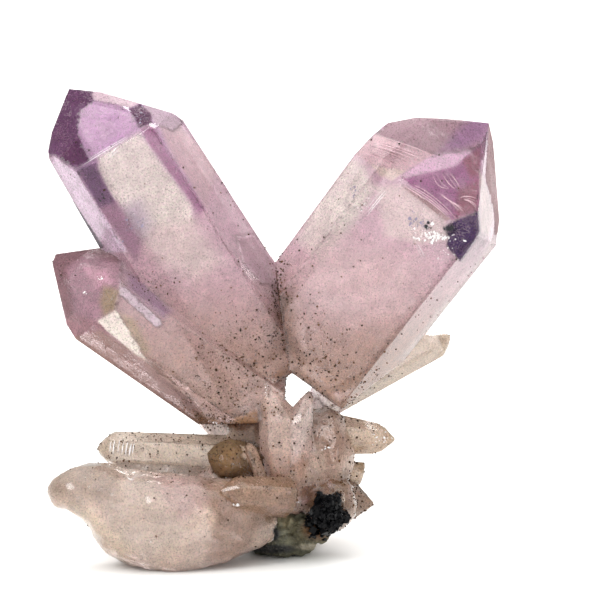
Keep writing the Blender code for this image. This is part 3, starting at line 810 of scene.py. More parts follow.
@shared_group
def haze_flocks(name):
    """Flocks of haze: their mottled colour, and how much light they hold back."""
    tree, source, sink = new_group(
        name, [("Colour", "c", None), ("Cloud", "f", 0.5), ("Scale", "f", 330.0), ("Cover", "f", 1.0)],
        [("Colour", "c"), ("Alpha", "f")])
    place = object_coordinates(tree)
    tone = map_range(tree, noise_node(tree, place, 420.0, 8.0, 0.75), 0.32, 0.68, 0.78, 1.18)
    colour = mix_colour(tree, 1.0, source.outputs["Colour"], tone, "MULTIPLY")
    hue = map_range(tree, noise_node(tree, place, 2600.0, 3.0, 0.6), 0.36, 0.64)
    hue = mix_colour(tree, hue, (1.08, 1.0, 1.05, 1.0), (1.0, 1.05, 0.99, 1.0))
    colour = mix_colour(tree, 1.0, colour, hue, "MULTIPLY")
    pepper = map_range(tree, noise_node(tree, place, 4600.0, 2.0, 0.5), 0.55, 0.64, 1.0, 0.55)
    feed(tree, sink.inputs["Colour"], mix_colour(tree, 1.0, colour, pepper, "MULTIPLY"))
    flocks = noise_node(tree, place, source.outputs["Scale"], 6.0, 0.7, 0.6)
    flocks = map_range(tree, flocks, 0.32, 0.68, 0.72, 1.24)
    dust = map_range(tree, noise_node(tree, place, 3600.0, 3.0, 0.6), 0.35, 0.65, 0.78, 1.22)
    alpha = math_node(tree, "MULTIPLY", flocks, source.outputs["Cloud"])
    alpha = math_node(tree, "MULTIPLY", alpha, dust)
    alpha = math_node(tree, "MULTIPLY", alpha, source.outputs["Cover"])
    feed(tree, sink.inputs["Alpha"], math_node(tree, "MINIMUM", alpha, 1.0))
    return tree


@shared_group
def broken_tone(name):
    """The uneven brightness of broken quartz and of growth streaks."""
    tree, source, sink = new_group(name, [("Tint", "c", None)], [("Colour", "c")])
    tone = map_range(tree, noise_node(tree, object_coordinates(tree), 3000.0, 3.0, 0.6), 0.3, 0.7, 0.8, 1.1)
    feed(tree, sink.inputs["Colour"], mix_colour(tree, 1.0, source.outputs["Tint"], tone, "MULTIPLY"))
    return tree


@shared_group
def mineral_mottle(name):
    """Two mottled colours, the roughness and the height of a mineral's surface."""
    tree, source, sink = new_group(
        name, [("First", "c", None), ("Second", "c", None), ("Scale", "f", 900.0), ("Smooth", "f", 0.3),
               ("Rough", "f", 0.8)],
        [("Colour", "c"), ("Roughness", "f"), ("Height", "f")])
    place, scale = object_coordinates(tree), source.outputs["Scale"]
    mottle = map_range(tree, noise_node(tree, place, scale, 5.0, 0.65), 0.35, 0.65)
    fine = noise_node(tree, place, math_node(tree, "MULTIPLY", scale, 4.0), 4.0, 0.7)
    feed(tree, sink.inputs["Colour"],
         mix_colour(tree, mottle, source.outputs["First"], source.outputs["Second"]))
    feed(tree, sink.inputs["Roughness"],
         map_range(tree, fine, 0.3, 0.7, source.outputs["Smooth"], source.outputs["Rough"]))
    feed(tree, sink.inputs["Height"], fine)
    return tree


@shared_group
def quartz_tone(name, look):
    """Colour and roughness of the clear quartz from its tint and haze."""
    tree, source, sink = new_group(name, [("Tint", "c", None), ("Haze", "f", 0.0)],
                                   [("Colour", "c"), ("Roughness", "f")])
    place = object_coordinates(tree)
    cloud = map_range(tree, noise_node(tree, place, 260.0, 4.0, 0.6), 0.3, 0.7, 0.25, 0.5)
    feed(tree, sink.inputs["Colour"], mix_colour(tree, cloud, colour4(look.pale), source.outputs["Tint"]))
    veiled = map_range(tree, noise_node(tree, place, 420.0, 4.0, 0.6), 0.35, 0.65, 0.75, 1.15)
    rough = math_node(tree, "MULTIPLY", source.outputs["Haze"], veiled)
    feed(tree, sink.inputs["Roughness"], map_range(tree, rough, 0.0, 1.0, 0.03, 0.20))
    return tree


@shared_group
def growth_lines(name):
    """Height of the growth lines that run across the prism faces, from the way along the axis."""
    tree, source, sink = new_group(name, [("Along", "f", 0.0), ("Strength", "f", 1.0)], [("Height", "f")])
    place = object_coordinates(tree)
    wobble = map_range(tree, noise_node(tree, place, 150.0, 2.0), 0.0, 1.0, -0.6, 0.6)
    combine_xyz = tree.nodes.new("ShaderNodeCombineXYZ")
    feed(tree, combine_xyz.inputs[0], math_node(tree, "ADD", source.outputs["Along"], wobble))
    lines = noise_node(tree, combine_xyz.outputs[0], 2.6, 4.0, 0.7)
    pits = noise_node(tree, place, 1400.0, 3.0, 0.6)
    mixed = math_node(tree, "ADD", lines, math_node(tree, "MULTIPLY", pits, 0.35))
    feed(tree, sink.inputs["Height"], math_node(tree, "MULTIPLY", mixed, source.outputs["Strength"]))
    return tree


def place_group(tree, group, **values):
    """Place a group with its own values; returns the group's outputs."""
    node = tree.nodes.new("ShaderNodeGroup")
    node.node_tree = group
    for label, value in values.items():
        feed(tree, node.inputs[label], value)
    return node.outputs


def bump(tree, height, shader, strength, distance):
    node = tree.nodes.new("ShaderNodeBump")
    for label, value in (("Strength", strength), ("Distance", distance), ("Height", height)):
        feed(tree, node.inputs[label], value)
    feed(tree, shader.inputs["Normal"], node.outputs[0])


def quartz_material(look):
    """Clear quartz: transmission, IOR and absorption, with growth lines and iron stain."""
    material = bpy.data.materials.new("quartz")
    tree, shader, output = nodes_of(material)
    tone = place_group(tree, quartz_tone(look), Tint=attribute(tree, "tint", "Color"),
                       Haze=attribute(tree, "haze"))
    stained = place_group(tree, iron_stain(look), Colour=tone["Colour"], Stain=attribute(tree, "stain"),
                          Scale=900.0, Least=0.2)
    feed(tree, shader.inputs["Base Color"], stained["Colour"])
    feed(tree, shader.inputs["Roughness"], tone["Roughness"])
    growth = place_group(tree, growth_lines(), Along=attribute(tree, "along"),
                         Strength=attribute(tree, "ribbing"))
    bump(tree, growth["Height"], shader, 0.35, 0.0001)
    shader.inputs["Transmission Weight"].default_value = 1.0
    shader.inputs["IOR"].default_value = QUARTZ_IOR
    absorb = tree.nodes.new("ShaderNodeVolumeAbsorption")
    absorb.inputs["Color"].default_value = colour4(look.absorption)
    absorb.inputs["Density"].default_value = look.density
    feed(tree, output.inputs["Volume"], absorb.outputs[0])
    return material


def haze_material(name, look, cover, scale):
    """Haze in the quartz: pale flocks that let part of the light through."""
    material = bpy.data.materials.new(name)
    tree, shader, _ = nodes_of(material)
    stained = place_group(tree, iron_stain(look), Colour=attribute(tree, "tint", "Color"),
                          Stain=attribute(tree, "stain"), Scale=800.0, Least=0.3)
    flocks = place_group(tree, haze_flocks(), Colour=stained["Colour"], Cloud=attribute(tree, "cloud"),
                         Scale=scale, Cover=cover)
    feed(tree, shader.inputs["Base Color"], flocks["Colour"])
    feed(tree, shader.inputs["Alpha"], flocks["Alpha"])
    shader.inputs["Roughness"].default_value = 0.8
    shader.inputs["Specular IOR Level"].default_value = 0.1
    return material


def fleck_material(name, cover):
    """Broken quartz and growth streaks: bright or dark, lightly glossy; the white ones are painted glints."""
    material = bpy.data.materials.new(name)
    tree, shader, _ = nodes_of(material)
    tone = place_group(tree, broken_tone(), Tint=attribute(tree, "tint", "Color"))
    feed(tree, shader.inputs["Base Color"], tone["Colour"])
    shader.inputs["Alpha"].default_value = cover
    shader.inputs["Roughness"].default_value = 0.3
    return material


def mineral_material(name, colours, scale, roughness, bump_depth, specular=0.5, tinted=False):
    """A mineral surface with two mottled colours and a fine relief."""
    material = bpy.data.materials.new(name)
    tree, shader, _ = nodes_of(material)
    mottle = place_group(tree, mineral_mottle(), First=colour4(colours[0]), Second=colour4(colours[1]),
                         Scale=scale, Smooth=roughness[0], Rough=roughness[1])
    colour = mottle["Colour"]
    if tinted:
        colour = mix_colour(tree, 1.0, colour, attribute(tree, "tint", "Color"), "MULTIPLY")
    feed(tree, shader.inputs["Base Color"], colour)
    feed(tree, shader.inputs["Roughness"], mottle["Roughness"])
    bump(tree, mottle["Height"], shader, 0.6, bump_depth)
    shader.inputs["Specular IOR Level"].default_value = specular
    return material


def crystal_shares(points, inset=0.0):
    """The crystal whose face planes, moved in by the inset, pass by each point; -1 for the root."""
    distances = []
    for row in ALL_CRYSTALS:
        far = np.full(len(points), -1e9)
        for point, normal in crystal_planes(row, inset):
            far = np.maximum(far, (points - np.array(point)) @ np.array(normal))
        distances.append(np.abs(far))
    distances = np.array(distances)
    owner = distances.argmin(0)
    owner[distances.min(0) > OWNER_REACH[inset > 0]] = -1
    return owner


def display_pixels(points):
    """The display pixels, across and down, where points are seen."""
    face = to_face(points)
    scale = PIXEL * (1 + face[:, 1] / VIEW_DISTANCE)
    return (MIDDLE_PIXEL[0] + (face[:, 0] - VIEW_CENTRE[0]) / scale,
            MIDDLE_PIXEL[1] - (face[:, 2] - VIEW_CENTRE[1]) / scale)


def toward_viewer(normals):
    """How squarely each normal looks at the viewer: 1 at most, and less than 0 from behind."""
    return -(normals @ np.array(face_direction(0, 1, 0)))


def spot_share(px, py, x, y, across, down):
    """A soft round spot of 1 at the centre, with its reach across and down in display pixels."""
    return np.exp(-((px - x) / across) ** 2 - ((py - y) / down) ** 2)


def owner_index(name):
    """The number of a crystal, or -1 for the root."""
    return CRYSTAL_NAMES.index(name) if name in CRYSTAL_NAMES else -1


def quartz_finish(points, normals, look, inset=0.0):
    """The tint, haze, cloud, film, way along the axis and ribbing of quartz at each point."""
    owner = crystal_shares(points, inset)
    px, py = display_pixels(points)
    front = step(*ZONE_FACING, toward_viewer(normals))
    count = len(points)
    violet, along, film = np.zeros(count), np.zeros(count), np.zeros(count)
    haze, milk = np.full(count, 0.7), np.ones(count)
    cloud, ribbing = np.full(count, 0.66), np.full(count, 0.3)
    # The way is in mm from the tip. Towards the root the violet fades and the haze thickens.
    for index, row in enumerate(ALL_CRYSTALS):
        mine = owner == index
        top, axis, _, _ = crystal_frame(row)
        way = (np.array(top) - points[mine]) @ np.array(axis) / MM
        along[mine] = way
        prism = step(0.35, 0.2, np.abs(normals[mine] @ np.array(axis)))
        ribbing[mine] = 0.15 + 0.6 * prism
        if index < len(LARGE_CRYSTALS):
            reach = SHORT_TIP if row[0] == "low_left" else 1.0
            violet[mine] = 0.9 * step(20 * reach, 2 * reach, way)
            haze[mine] = 0.12 + 0.45 * step(8, 24, way)
            milk[mine] = 0.6 * step(200, 420, py[mine])
            cloud[mine] = 0.22 + 0.40 * step(5 * reach, 24 * reach, way)
        elif row[0] not in SMALL_FINISH:
            violet[mine] = 0.5 * step(8, 0, way)
            haze[mine] = 0.30 + 0.4 * step(1, 8, way)
            milk[mine] = 0.4 + 0.5 * step(1, 8, way)
            cloud[mine] = 0.30 + 0.35 * step(2, 9, way)
    tint = np.array(look.cloud) * (1 - milk[:, None]) + np.array(look.cloud_milk) * milk[:, None]
    tint += (np.array(look.tip_cloud) - tint) * violet[:, None]
    fade_top, fade_end, root_row, taken, on_low_left, elsewhere = BODY_FADE
    low = step(fade_top, fade_end, py) * (py < root_row) * (owner >= 0) * (owner < len(LARGE_CRYSTALS))
    low *= np.where(owner == owner_index("low_left"), on_low_left, elsewhere)
    tint *= 1 - low[:, None] * np.array(taken)
    for name, (colour, cover) in SMALL_FINISH.items():
        mine = owner == owner_index(name)
        tint[mine], cloud[mine], haze[mine], film[mine] = colour, cover, 0.5, cover >= FILM_COVER
    # The zones paint colour zoning and, on faces that look at the viewer, painted reflections and painted
    # shade of the tips' facets.
    for name, colour, cover, soft, outline in ZONES:
        mine = np.flatnonzero(owner == owner_index(name))
        weight = step(-soft, soft, inside_distance(px[mine], py[mine], outline)) * front[mine]
        tint[mine] += (np.array(PALETTE[colour]) - tint[mine]) * weight[:, None]
        cloud[mine] += (cover - cloud[mine]) * weight
        film[mine] += ((cover >= FILM_COVER) - film[mine]) * weight
    stain = sum(strength * spot_share(px, py, *spot) for *spot, strength in STAIN_FIELDS)
    return {"tint": tint, "haze": np.clip(haze, 0, 1), "cloud": np.clip(cloud, 0, 1), "along": along,
            "ribbing": ribbing, "stain": np.clip(stain, 0, 1), "film": film}


def paint_quartz(mesh, look, inset=0.0, crisp=False):
    """Store the finish on the points, or on the corners of the faces where zones have crisp edges."""
    points, normals = mesh_arrays(mesh)
    domain = "POINT"
    if crisp:
        domain = "CORNER"
        loops = np.empty(len(mesh.loops), int)
        mesh.loops.foreach_get("vertex_index", loops)
        corners = points[loops].reshape(-1, 3, 3)
        middles = corners.mean(1, keepdims=True)
        points = (corners + (middles - corners) * CORNER_INSET).reshape(-1, 3)
        faces = np.empty(len(mesh.polygons) * 3)
        mesh.polygons.foreach_get("normal", faces)
        normals = np.repeat(faces.reshape(-1, 3), 3, axis=0)
    for name, values in quartz_finish(points, normals, look, inset).items():
        if name == "tint":
            store_tints(mesh, domain, values)
        else:
            stored = mesh.attributes.new(name, "FLOAT", domain)
            stored.data.foreach_set("value", np.ascontiguousarray(values, np.float32))


def score_zones(bm):
    """Cut the zones' outlines into the surface, so that each zone can end in a crisp line."""
    view, eye, margin = face_direction(0, 1, 0), eye_point(), 0.0008
    facing = [face for face in bm.faces if face.normal.dot(view) < 0.05]
    for _, _, _, soft, outline in ZONES:
        if soft > CRISP_ZONE:
            continue
        corners = [display_point(x, y) for x, y in outline]
        low = [min(corner[i] for corner in corners) - margin for i in (0, 2)]
        high = [max(corner[i] for corner in corners) + margin for i in (0, 2)]
        facing = [face for face in facing if face.is_valid]
        zone = []
        for face in facing:
            x, _, z = face.calc_center_median()
            if low[0] < x < high[0] and low[1] < z < high[1]:
                zone.append(face)
        added = []
        for a, b in zip(corners, corners[1:] + corners[:1]):
            along = (b - a).normalized()
            reach = (b - a).length + margin
            normal = (a - eye).cross(b - eye).normalized()
            near = []
            for face in zone + added:
                if not face.is_valid:
                    continue
                centre = face.calc_center_median() - a
                if abs(centre.dot(normal)) < margin and -margin < centre.dot(along) < reach:
                    near.append(face)
            if near:
                edges = dict.fromkeys(edge for face in near for edge in face.edges)
                verts = dict.fromkeys(vert for face in near for vert in face.verts)
                cut = bmesh.ops.bisect_plane(bm, geom=[*verts, *edges, *near], dist=2e-6,
                                             plane_co=a, plane_no=normal)
                known = set(zone + added)
                added += [part for part in cut["geom"]
                          if isinstance(part, bmesh.types.BMFace) and part not in known]
        facing += added
    bmesh.ops.triangulate(bm, faces=[f for f in bm.faces if len(f.verts) > 3])


def above_surface(tree, x, y, lift):
    """The place at a height over the surface that a display pixel shows, and the surface's normal."""
    eye = eye_point()
    hit, normal, _, _ = tree.ray_cast(eye, (display_point(x, y) - eye).normalized())
    if hit is None:
        return None
    return np.array(hit + normal * lift), np.array(normal)


def curve_place(curve, t):
    """The pixel at a share t of a smooth curve through three pixels."""
    a, b, c = (np.array(point, float) for point in curve)
    b = 2 * b - (a + c) / 2
    return a * (1 - t) ** 2 + 2 * b * t * (1 - t) + c * t ** 2


def streak_mesh(tree):
    """Thin, pointed ribbons just over the surface, along curves that fan out; the white ones are painted
    glints.
    """
    rng = np.random.default_rng(31)
    verts, faces, tints = [], [], []
    for colour, count, width, first, last in STREAK_FANS:
        for number in range(count):
            share = (number + rng.uniform(-0.25, 0.25)) / max(count - 1, 1)
            start, stop = rng.uniform(0, 0.2), rng.uniform(0.8, 1.0)
            half = 0.75 * width * rng.uniform(0.5, 1.3) * MM
            places = []
            for t in np.linspace(start, stop, STREAK_STEPS):
                x, y = curve_place(first, t) * (1 - share) + curve_place(last, t) * share
                places.append(above_surface(tree, x, y, STREAK_LIFT))
            if None in places:
                continue
            base, end = len(verts), STREAK_STEPS - 1
            for k, (spot, normal) in enumerate(places):
                ahead = places[min(k + 1, end)][0] - places[max(k - 1, 0)][0]
                side = np.cross(normal, ahead)
                side /= np.linalg.norm(side)
                w = half * (0.12 + abs(math.sin(math.pi * k / end)) ** 0.6)
                verts += [spot + side * w, spot + normal * w * 0.3, spot - side * w, spot - normal * w * 0.3]
                if k:
                    b = base + 4 * k
                    faces += [(b + j, b + (j + 1) % 4, b - 4 + (j + 1) % 4, b - 4 + j) for j in range(4)]
            faces += [(base, base + 1, base + 2, base + 3), (b + 3, b + 2, b + 1, b)]
            tints += [PALETTE[colour]] * (len(verts) - base)
    return verts, faces, tints


def flake_mesh(tree):
    """Small thin plates of broken quartz, tilted every way, just over the surface; the white ones are painted
    glints.
    """
    rng = np.random.default_rng(32)
    verts, faces, tints = [], [], []
    for colour, count, centre, reach, size in FLAKE_FIELDS:
        for _ in range(count):
            x, y = np.array(centre) + rng.normal(0, 0.6, 2) * reach
            place = above_surface(tree, x, y, -rng.uniform(-FLAKE_LIFT[1], -FLAKE_LIFT[0]))
            if place is None:
                continue
            spot, normal = place
            tilt = normal + rng.normal(0, 0.25, 3)
            tilt /= np.linalg.norm(tilt)
            side = np.cross(tilt, rng.normal(size=3))
            side /= np.linalg.norm(side)
            other = np.cross(tilt, side)
            radius = size * rng.lognormal(0, 0.4) * MM / 2
            stretch = rng.uniform(0.35, 1.0)
            base = len(verts)
            corners = []
            for k in range(5):
                angle = 2 * math.pi * (k + rng.uniform(-0.3, 0.3)) / 5
                corners.append(radius * rng.uniform(0.6, 1.2)
                               * (side * math.cos(angle) + other * math.sin(angle) * stretch))
            verts += [spot + corner + tilt * FLAKE_HALF for corner in corners]
            verts += [spot + corner - tilt * FLAKE_HALF for corner in corners]
            faces += [tuple(range(base, base + 5)), tuple(range(base + 9, base + 4, -1))]
            faces += [(base + k, base + 5 + k, base + 5 + (k + 1) % 5, base + (k + 1) % 5) for k in range(5)]
            tints += [np.array(PALETTE[colour]) * rng.uniform(0.85, 1.0)] * 10
    return verts, faces, tints


def tinted_object(name, verts, faces, tints):
    mesh = bpy.data.meshes.new(name)
    mesh.from_pydata(np.array(verts).tolist(), [], faces)
    mesh.update()
    with edited(mesh) as bm:
        bmesh.ops.recalc_face_normals(bm, faces=bm.faces[:])
    store_tints(mesh, "POINT", tints)
    return link(bpy.data.objects.new(name, mesh))


def grain_mesh(name, spots, sizes, seed, cubes=False):
    """Many small angular grains or blocky crystals in one mesh, each half sunk where it sits."""
    rng = np.random.default_rng(seed)
    bm = bmesh.new()
    if cubes:
        bmesh.ops.create_cube(bm, size=1.0)
        bmesh.ops.triangulate(bm, faces=bm.faces[:])
    else:
        bmesh.ops.create_icosphere(bm, subdivisions=1, radius=0.5)
    base = np.array([v.co for v in bm.verts])
    faces = np.array([[v.index for v in f.verts] for f in bm.faces])
    bm.free()
    verts, polys = [], []
    for number, (spot, size) in enumerate(zip(spots, sizes)):
        stretch = rng.uniform(0.6, 1.3, 3)
        dents = 1.0 if cubes else rng.uniform(0.75, 1.2, (len(base), 1))
        shape = base * stretch * dents * size
        turn = rng.normal(size=(3, 3))
        turn, _ = np.linalg.qr(turn)
        if np.linalg.det(turn) < 0:
            turn[:, 0] *= -1
        verts.append(shape @ turn.T + spot)
        polys.append(faces + number * len(base))
    mesh = bpy.data.meshes.new(name)
    mesh.from_pydata(np.concatenate(verts).tolist(), [], np.concatenate(polys).tolist())
    mesh.update()
    return link(bpy.data.objects.new(name, mesh))


def surface_samples(obj, count, weigh, seed):
    """Random points of a surface, chosen by area and a weight for each face centre."""
    mesh = obj.data
    mesh.calc_loop_triangles()
    points, _ = mesh_arrays(mesh)
    tris = np.empty(len(mesh.loop_triangles) * 3, int)
    mesh.loop_triangles.foreach_get("vertices", tris)
    tris = tris.reshape(-1, 3)
    a, b, c = points[tris[:, 0]], points[tris[:, 1]], points[tris[:, 2]]
    areas = np.linalg.norm(np.cross(b - a, c - a), axis=1)
    normals = np.cross(b - a, c - a) / np.maximum(areas, 1e-15)[:, None]
    chance = areas * weigh((a + b + c) / 3, normals)
    rng = np.random.default_rng(seed)
    chosen = rng.choice(len(tris), count, p=chance / chance.sum())
    s, t = rng.random(count), rng.random(count)
    flip = s + t > 1
    s[flip], t[flip] = 1 - s[flip], 1 - t[flip]
    a, b, c = a[chosen], b[chosen], c[chosen]
    return a + (b - a) * s[:, None] + (c - a) * t[:, None]


class AMETHYST_OT_quartz(Operator):
    """Build the grown quartz: large, small and rear crystals on the milky root"""
    bl_idname = "amethyst.quartz"
    bl_label = "Quartz crystals"

    def execute(self, context):
        settings = context.scene.amethyst
        body = milky_solid("quartz_crystals")
        additions = [crystal_solid(row, settings.shape.chamfer) for row in LARGE_CRYSTALS]
        additions += [lump_solid(f"root_{k}", spec) for k, spec in enumerate(ROOT_LUMPS)]
        additions += [crystal_solid(row, settings.shape.small_chamfer, blunt=settings.shape.blunt)
                      for row in SMALL_CRYSTALS + REAR_CRYSTALS]
        cutters = [lump_solid("stone_seat", STONE_LUMP, STONE_SEAT),
                   lump_solid("mineral_seat", MINERAL_LUMP, MINERAL_SEAT), floor_block()]
        combine(body, additions, cutters)
        bpy.data.meshes["quartz_crystals"].name = "quartz_guide"
        body.data.name = "quartz_crystals"
        blank = body.data.copy()
        blank.name = "quartz_blank"
        blank.use_fake_user = True
        refine(body, settings.shape.longest_edge, FINE_FOOT, settings.shape.fine_edge)
        mesh = body.data
        mesh.shade_smooth()
        mesh.set_sharp_from_angle(angle=SHARP_ANGLE)
        paint_quartz(mesh, settings.quartz)
        points, normals = mesh_arrays(mesh)
        milky = crystal_shares(points) < 0
        wave = smooth_noise(points / MM, 0.35, 1.0) * settings.shape.wave
        relief = smooth_noise(points[milky] / MM, 0.55, 9.0, 4)
        wave[milky] += np.clip(relief, -0.6, 1) * settings.shape.relief
        points += normals * wave[:, None]
        move_points(mesh, points, 0)
        mesh.materials.clear()
        mesh.materials.append(quartz_material(settings.quartz))
        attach(body, "root")
        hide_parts("amethyst_cluster")
        return {"FINISHED"}


class AMETHYST_OT_haze(Operator):
    """Build the haze and the zones in and on the crystals and the root: colour zoning, and painted
    reflections and shade of the tips' facets
    """
    bl_idname = "amethyst.haze"
    bl_label = "Haze"

    def execute(self, context):
        look = context.scene.amethyst.quartz
        # The skin carries the zones, with their painted reflections and painted shade.
        skin = link(bpy.data.objects.new("haze_skin_with_painted_light", bpy.data.meshes["quartz_blank"].copy()))
        refine(skin, HAZE_EDGES[0], FINE_TIPS, HAZE_EDGES[1])
        with edited(skin.data) as bm:
            score_zones(bm)
        points, normals = mesh_arrays(skin.data)
        film = quartz_finish(points, normals, look)["film"]
        points -= normals * np.where(film > FILM_SHARE, -look.film, look.skin)[:, None]
        move_points(skin.data, points, look.skin)
        skin.data.update()
        paint_quartz(skin.data, look, look.skin, crisp=True)
        self.finish(skin, look, 1.0, 330.0)
        core, *others = [crystal_solid(row, CORE_CHAMFER, look.core) for row in LARGE_CRYSTALS]
        core.name = "haze_core"
        combine(core, others, [])
        refine(core, CORE_EDGE)
        points, normals = mesh_arrays(core.data)
        points += normals * (smooth_noise(points / MM, 0.3, 4.0) * CORE_WAVE)[:, None]
        move_points(core.data, points)
        paint_quartz(core.data, look, look.core)
        self.finish(core, look, 0.45, 240.0)
        return {"FINISHED"}

    def finish(self, obj, look, cover, scale):
        obj.data.shade_smooth()
        obj.data.materials.clear()
        obj.data.materials.append(haze_material(obj.name, look, cover, scale))
        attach(obj, "root")


class AMETHYST_OT_streaks(Operator):
    """Build the growth streaks and the flakes of the fractures, with white ones that are painted glints"""
    bl_idname = "amethyst.streaks"
    bl_label = "Streaks and fractures"

    def execute(self, context):
        tree = BVHTree.FromObject(bpy.data.objects["quartz_crystals"], context.evaluated_depsgraph_get())
        for name, made, cover in (("growth_streaks_and_glints", streak_mesh(tree), 0.75),
                                  ("fracture_flakes_and_glints", flake_mesh(tree), 0.9)):
            obj = tinted_object(name, *made)
            obj.data.materials.append(fleck_material(name + "_surface", cover))
            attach(obj, "root")
        return {"FINISHED"}


class AMETHYST_OT_rock(Operator):
    """Build the remains of the grey-green host rock"""
    bl_idname = "amethyst.rock"
    bl_label = "Host rock"

    def execute(self, context):
        body = lump_solid("host_rock_piece", STONE_LUMP)
        combine(body, [], [lump_solid("mineral_seat", MINERAL_LUMP, MINERAL_SEAT), floor_block()])
        refine(body, ROCK_EDGE)
        mesh = body.data
        points, normals = mesh_arrays(mesh)
        relief = smooth_noise(points / MM, 1.3, 2.0, 4)
        points += normals * (np.clip(relief, -1, 0.7) * ROCK_RELIEF)[:, None]
        move_points(mesh, points, 0)
        px, py = display_pixels(points)
        # The spots include a painted highlight and a painted shadow along the bottom.
        tints = np.full((len(points), 3), ROCK_BASE, np.float32)
        for colour, x, y, across, down in ROCK_SPOTS_AND_PAINTED_LIGHT:
            near = step(1.3, 0.6, np.hypot((px - x) / across, (py - y) / down))
            tints += (np.array(colour) - tints) * near[:, None]
        store_tints(mesh, "POINT", tints)
        mesh.materials.clear()
        mesh.materials.append(mineral_material("host_rock_surface", ROCK_MOTTLE, 900.0, (0.35, 0.8), 0.0001,
                                               tinted=True))
        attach(body, "root")
        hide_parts("matrix_stone")
        return {"FINISHED"}


class AMETHYST_OT_black_mineral(Operator):
    """Build the jagged black mineral"""
    bl_idname = "amethyst.black_mineral"
    bl_label = "Black mineral"

    def execute(self, context):
        core = lump_solid("black_mineral_core", MINERAL_LUMP, BLACK_CORE_SHRINK)
        rock = bpy.data.objects["host_rock_piece"]

        def rusty(points, normals):
            px, py = display_pixels(points)
            return spot_share(px, py, *RUSTY_SPOT) * (toward_viewer(normals) > 0)

        on_core, on_rock, size = BLACK_CRYSTALS
        spots = np.concatenate([surface_samples(core, on_core, lambda points, normals: 1.0, 71),
                                surface_samples(rock, on_rock, rusty, 72)])
        rng = np.random.default_rng(73)
        sizes = rng.lognormal(0, 0.4, len(spots)) * size
        body = grain_mesh("black_mineral_crystals", spots, sizes, 74, cubes=True)
        with edited(body.data) as bm:
            bm.from_mesh(core.data)
        bpy.data.objects.remove(core)
        body.data.materials.append(mineral_material("black_mineral_surface", BLACK_MOTTLE, 1200.0,
                                                    (0.10, 0.35), 0.00004, 0.12))
        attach(body, "root")
        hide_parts("black_mineral")
        return {"FINISHED"}


class AMETHYST_OT_grains(Operator):
    """Scatter the dark and the rust-coloured grains"""
    bl_idname = "amethyst.grains"
    bl_label = "Grains"

    def execute(self, context):
        grains = context.scene.amethyst.grains
        quartz = bpy.data.objects["quartz_crystals"]

        def weigh(points, normals):
            px, py = display_pixels(points)
            chance = np.full(len(px), GRAINS_EVERYWHERE)
            for *spot, weight in GRAIN_FIELDS:
                chance += weight * spot_share(px, py, *spot)
            return chance * np.where(toward_viewer(normals) > 0, 1.0, GRAINS_BEHIND)

        for name, count, seed, colours in (
                ("dark_grains", grains.dark_count, 5, DARK_MOTTLE),
                ("rust_grains", grains.rust_count, 6, RUST_MOTTLE)):
            spots = surface_samples(quartz, count, weigh, seed)
            spots[:, 2] = np.maximum(spots[:, 2], 2 * grains.grain_size)
            rng = np.random.default_rng(seed + 20)
            sizes = grains.grain_size * np.clip(rng.lognormal(0.0, 0.4, count), 0.4, 1.7)
            obj = grain_mesh(name, spots, sizes, seed + 40)
            obj.data.materials.append(mineral_material(name + "_surface", colours, 2500.0, (0.5, 0.9),
                                                       0.00003, 0.1))
            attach(obj, "root")
        return {"FINISHED"}


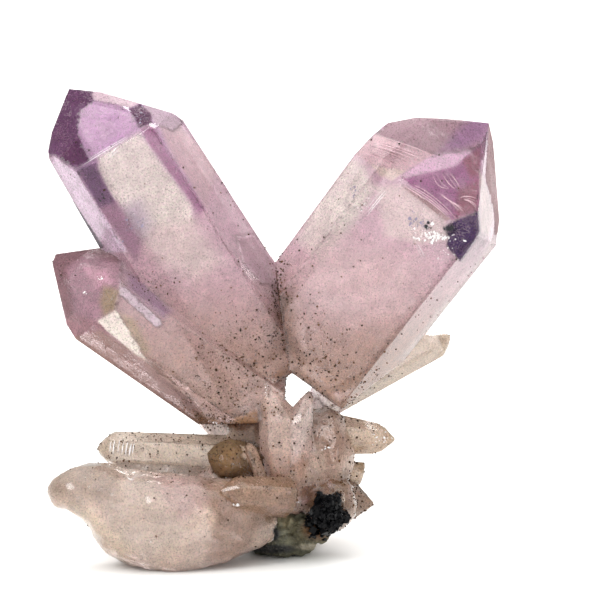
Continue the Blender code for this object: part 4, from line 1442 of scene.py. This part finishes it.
class AMETHYST_OT_stage(Operator):
    """Build the pale floor, the soft light and the camera"""
    bl_idname = "amethyst.stage"
    bl_label = "Stage"

    def execute(self, context):
        stage = context.scene.amethyst.stage
        bm = bmesh.new()
        bmesh.ops.create_circle(bm, cap_ends=True, segments=96, radius=stage.floor_radius)
        floor = mesh_object("floor", bm)
        material = bpy.data.materials.new("floor_surface")
        _, shader, _ = nodes_of(material)
        shader.inputs["Base Color"].default_value = colour4(stage.floor_colour)
        shader.inputs["Roughness"].default_value = 0.9
        shader.inputs["Specular IOR Level"].default_value = 0.1
        floor.data.materials.append(material)
        self.light_world(context.scene, stage)
        for softbox in SOFTBOXES:
            self.add_softbox(*softbox)
        self.add_camera(context.scene)
        return {"FINISHED"}

    def light_world(self, scene, stage):
        world = bpy.data.worlds.new("studio")
        world.use_nodes = True
        scene.world = world
        tree = world.node_tree
        background = tree.nodes["Background"]
        direction = tree.nodes.new("ShaderNodeTexCoord").outputs["Generated"]
        split = tree.nodes.new("ShaderNodeSeparateXYZ")
        tree.links.new(direction, split.inputs[0])
        strength = map_range(tree, split.outputs["Z"], 0.5, 0.8, stage.sidelight, stage.toplight)
        tree.links.new(strength, background.inputs["Strength"])
        background.inputs["Color"].default_value = STUDIO_COLOUR

    def add_softbox(self, name, place, size, power):
        light = bpy.data.lights.new(name, "AREA")
        light.shape = "DISK"
        light.size = size
        light.energy = power
        lamp = link(bpy.data.objects.new(name, light))
        lamp.location = place
        lamp.rotation_euler = (Vector(LAMP_TARGET) - Vector(place)).to_track_quat("-Z", "Y").to_euler()

    def add_camera(self, scene):
        data = bpy.data.cameras.new("camera")
        data.sensor_width = SENSOR_WIDTH
        data.lens = SENSOR_WIDTH * VIEW_DISTANCE / VIEW_WIDTH
        camera = link(bpy.data.objects.new("camera", data))
        target = face_point(VIEW_CENTRE[0], 0, VIEW_CENTRE[1])
        back = Vector((0.0, -math.cos(FACE_TILT), math.sin(FACE_TILT)))
        camera.location = target + back * VIEW_DISTANCE * MM
        camera.rotation_euler = (-back).to_track_quat("-Z", "Y").to_euler()
        scene.camera = camera


class AMETHYST_PT_panel(Panel):
    """Lists the pieces of the cluster"""
    bl_label = "Amethyst Cluster"
    bl_space_type = "VIEW_3D"
    bl_region_type = "UI"
    bl_category = "Amethyst"

    def draw(self, context):
        for piece in PIECES:
            self.layout.operator(piece.bl_idname)
        settings = context.scene.amethyst
        for group in (settings.shape, settings.quartz, settings.grains, settings.stage):
            box = self.layout.box()
            for name in group.__annotations__:
                box.prop(group, name)


PIECES = (AMETHYST_OT_quartz, AMETHYST_OT_haze, AMETHYST_OT_streaks, AMETHYST_OT_rock,
          AMETHYST_OT_black_mineral, AMETHYST_OT_grains, AMETHYST_OT_stage)
CLASSES = (QuartzShape, QuartzLook, GrainLook, StageLook, ClusterSettings) + PIECES + (AMETHYST_PT_panel,)


def register():
    for cls in CLASSES:
        bpy.utils.register_class(cls)
    bpy.types.Scene.amethyst = PointerProperty(type=ClusterSettings)


def unregister():
    del bpy.types.Scene.amethyst
    for cls in reversed(CLASSES):
        bpy.utils.unregister_class(cls)


def main():
    register()
    bpy.ops.amethyst.quartz()
    bpy.ops.amethyst.haze()
    bpy.ops.amethyst.streaks()
    bpy.ops.amethyst.rock()
    bpy.ops.amethyst.black_mineral()
    bpy.ops.amethyst.grains()
    bpy.ops.amethyst.stage()
    scene = bpy.context.scene
    scene.view_settings.view_transform = "Standard"
    scene.cycles.use_denoising = True
    for kind, count in BOUNCES.items():
        setattr(scene.cycles, kind, count)


if __name__ == "__main__":
    main()
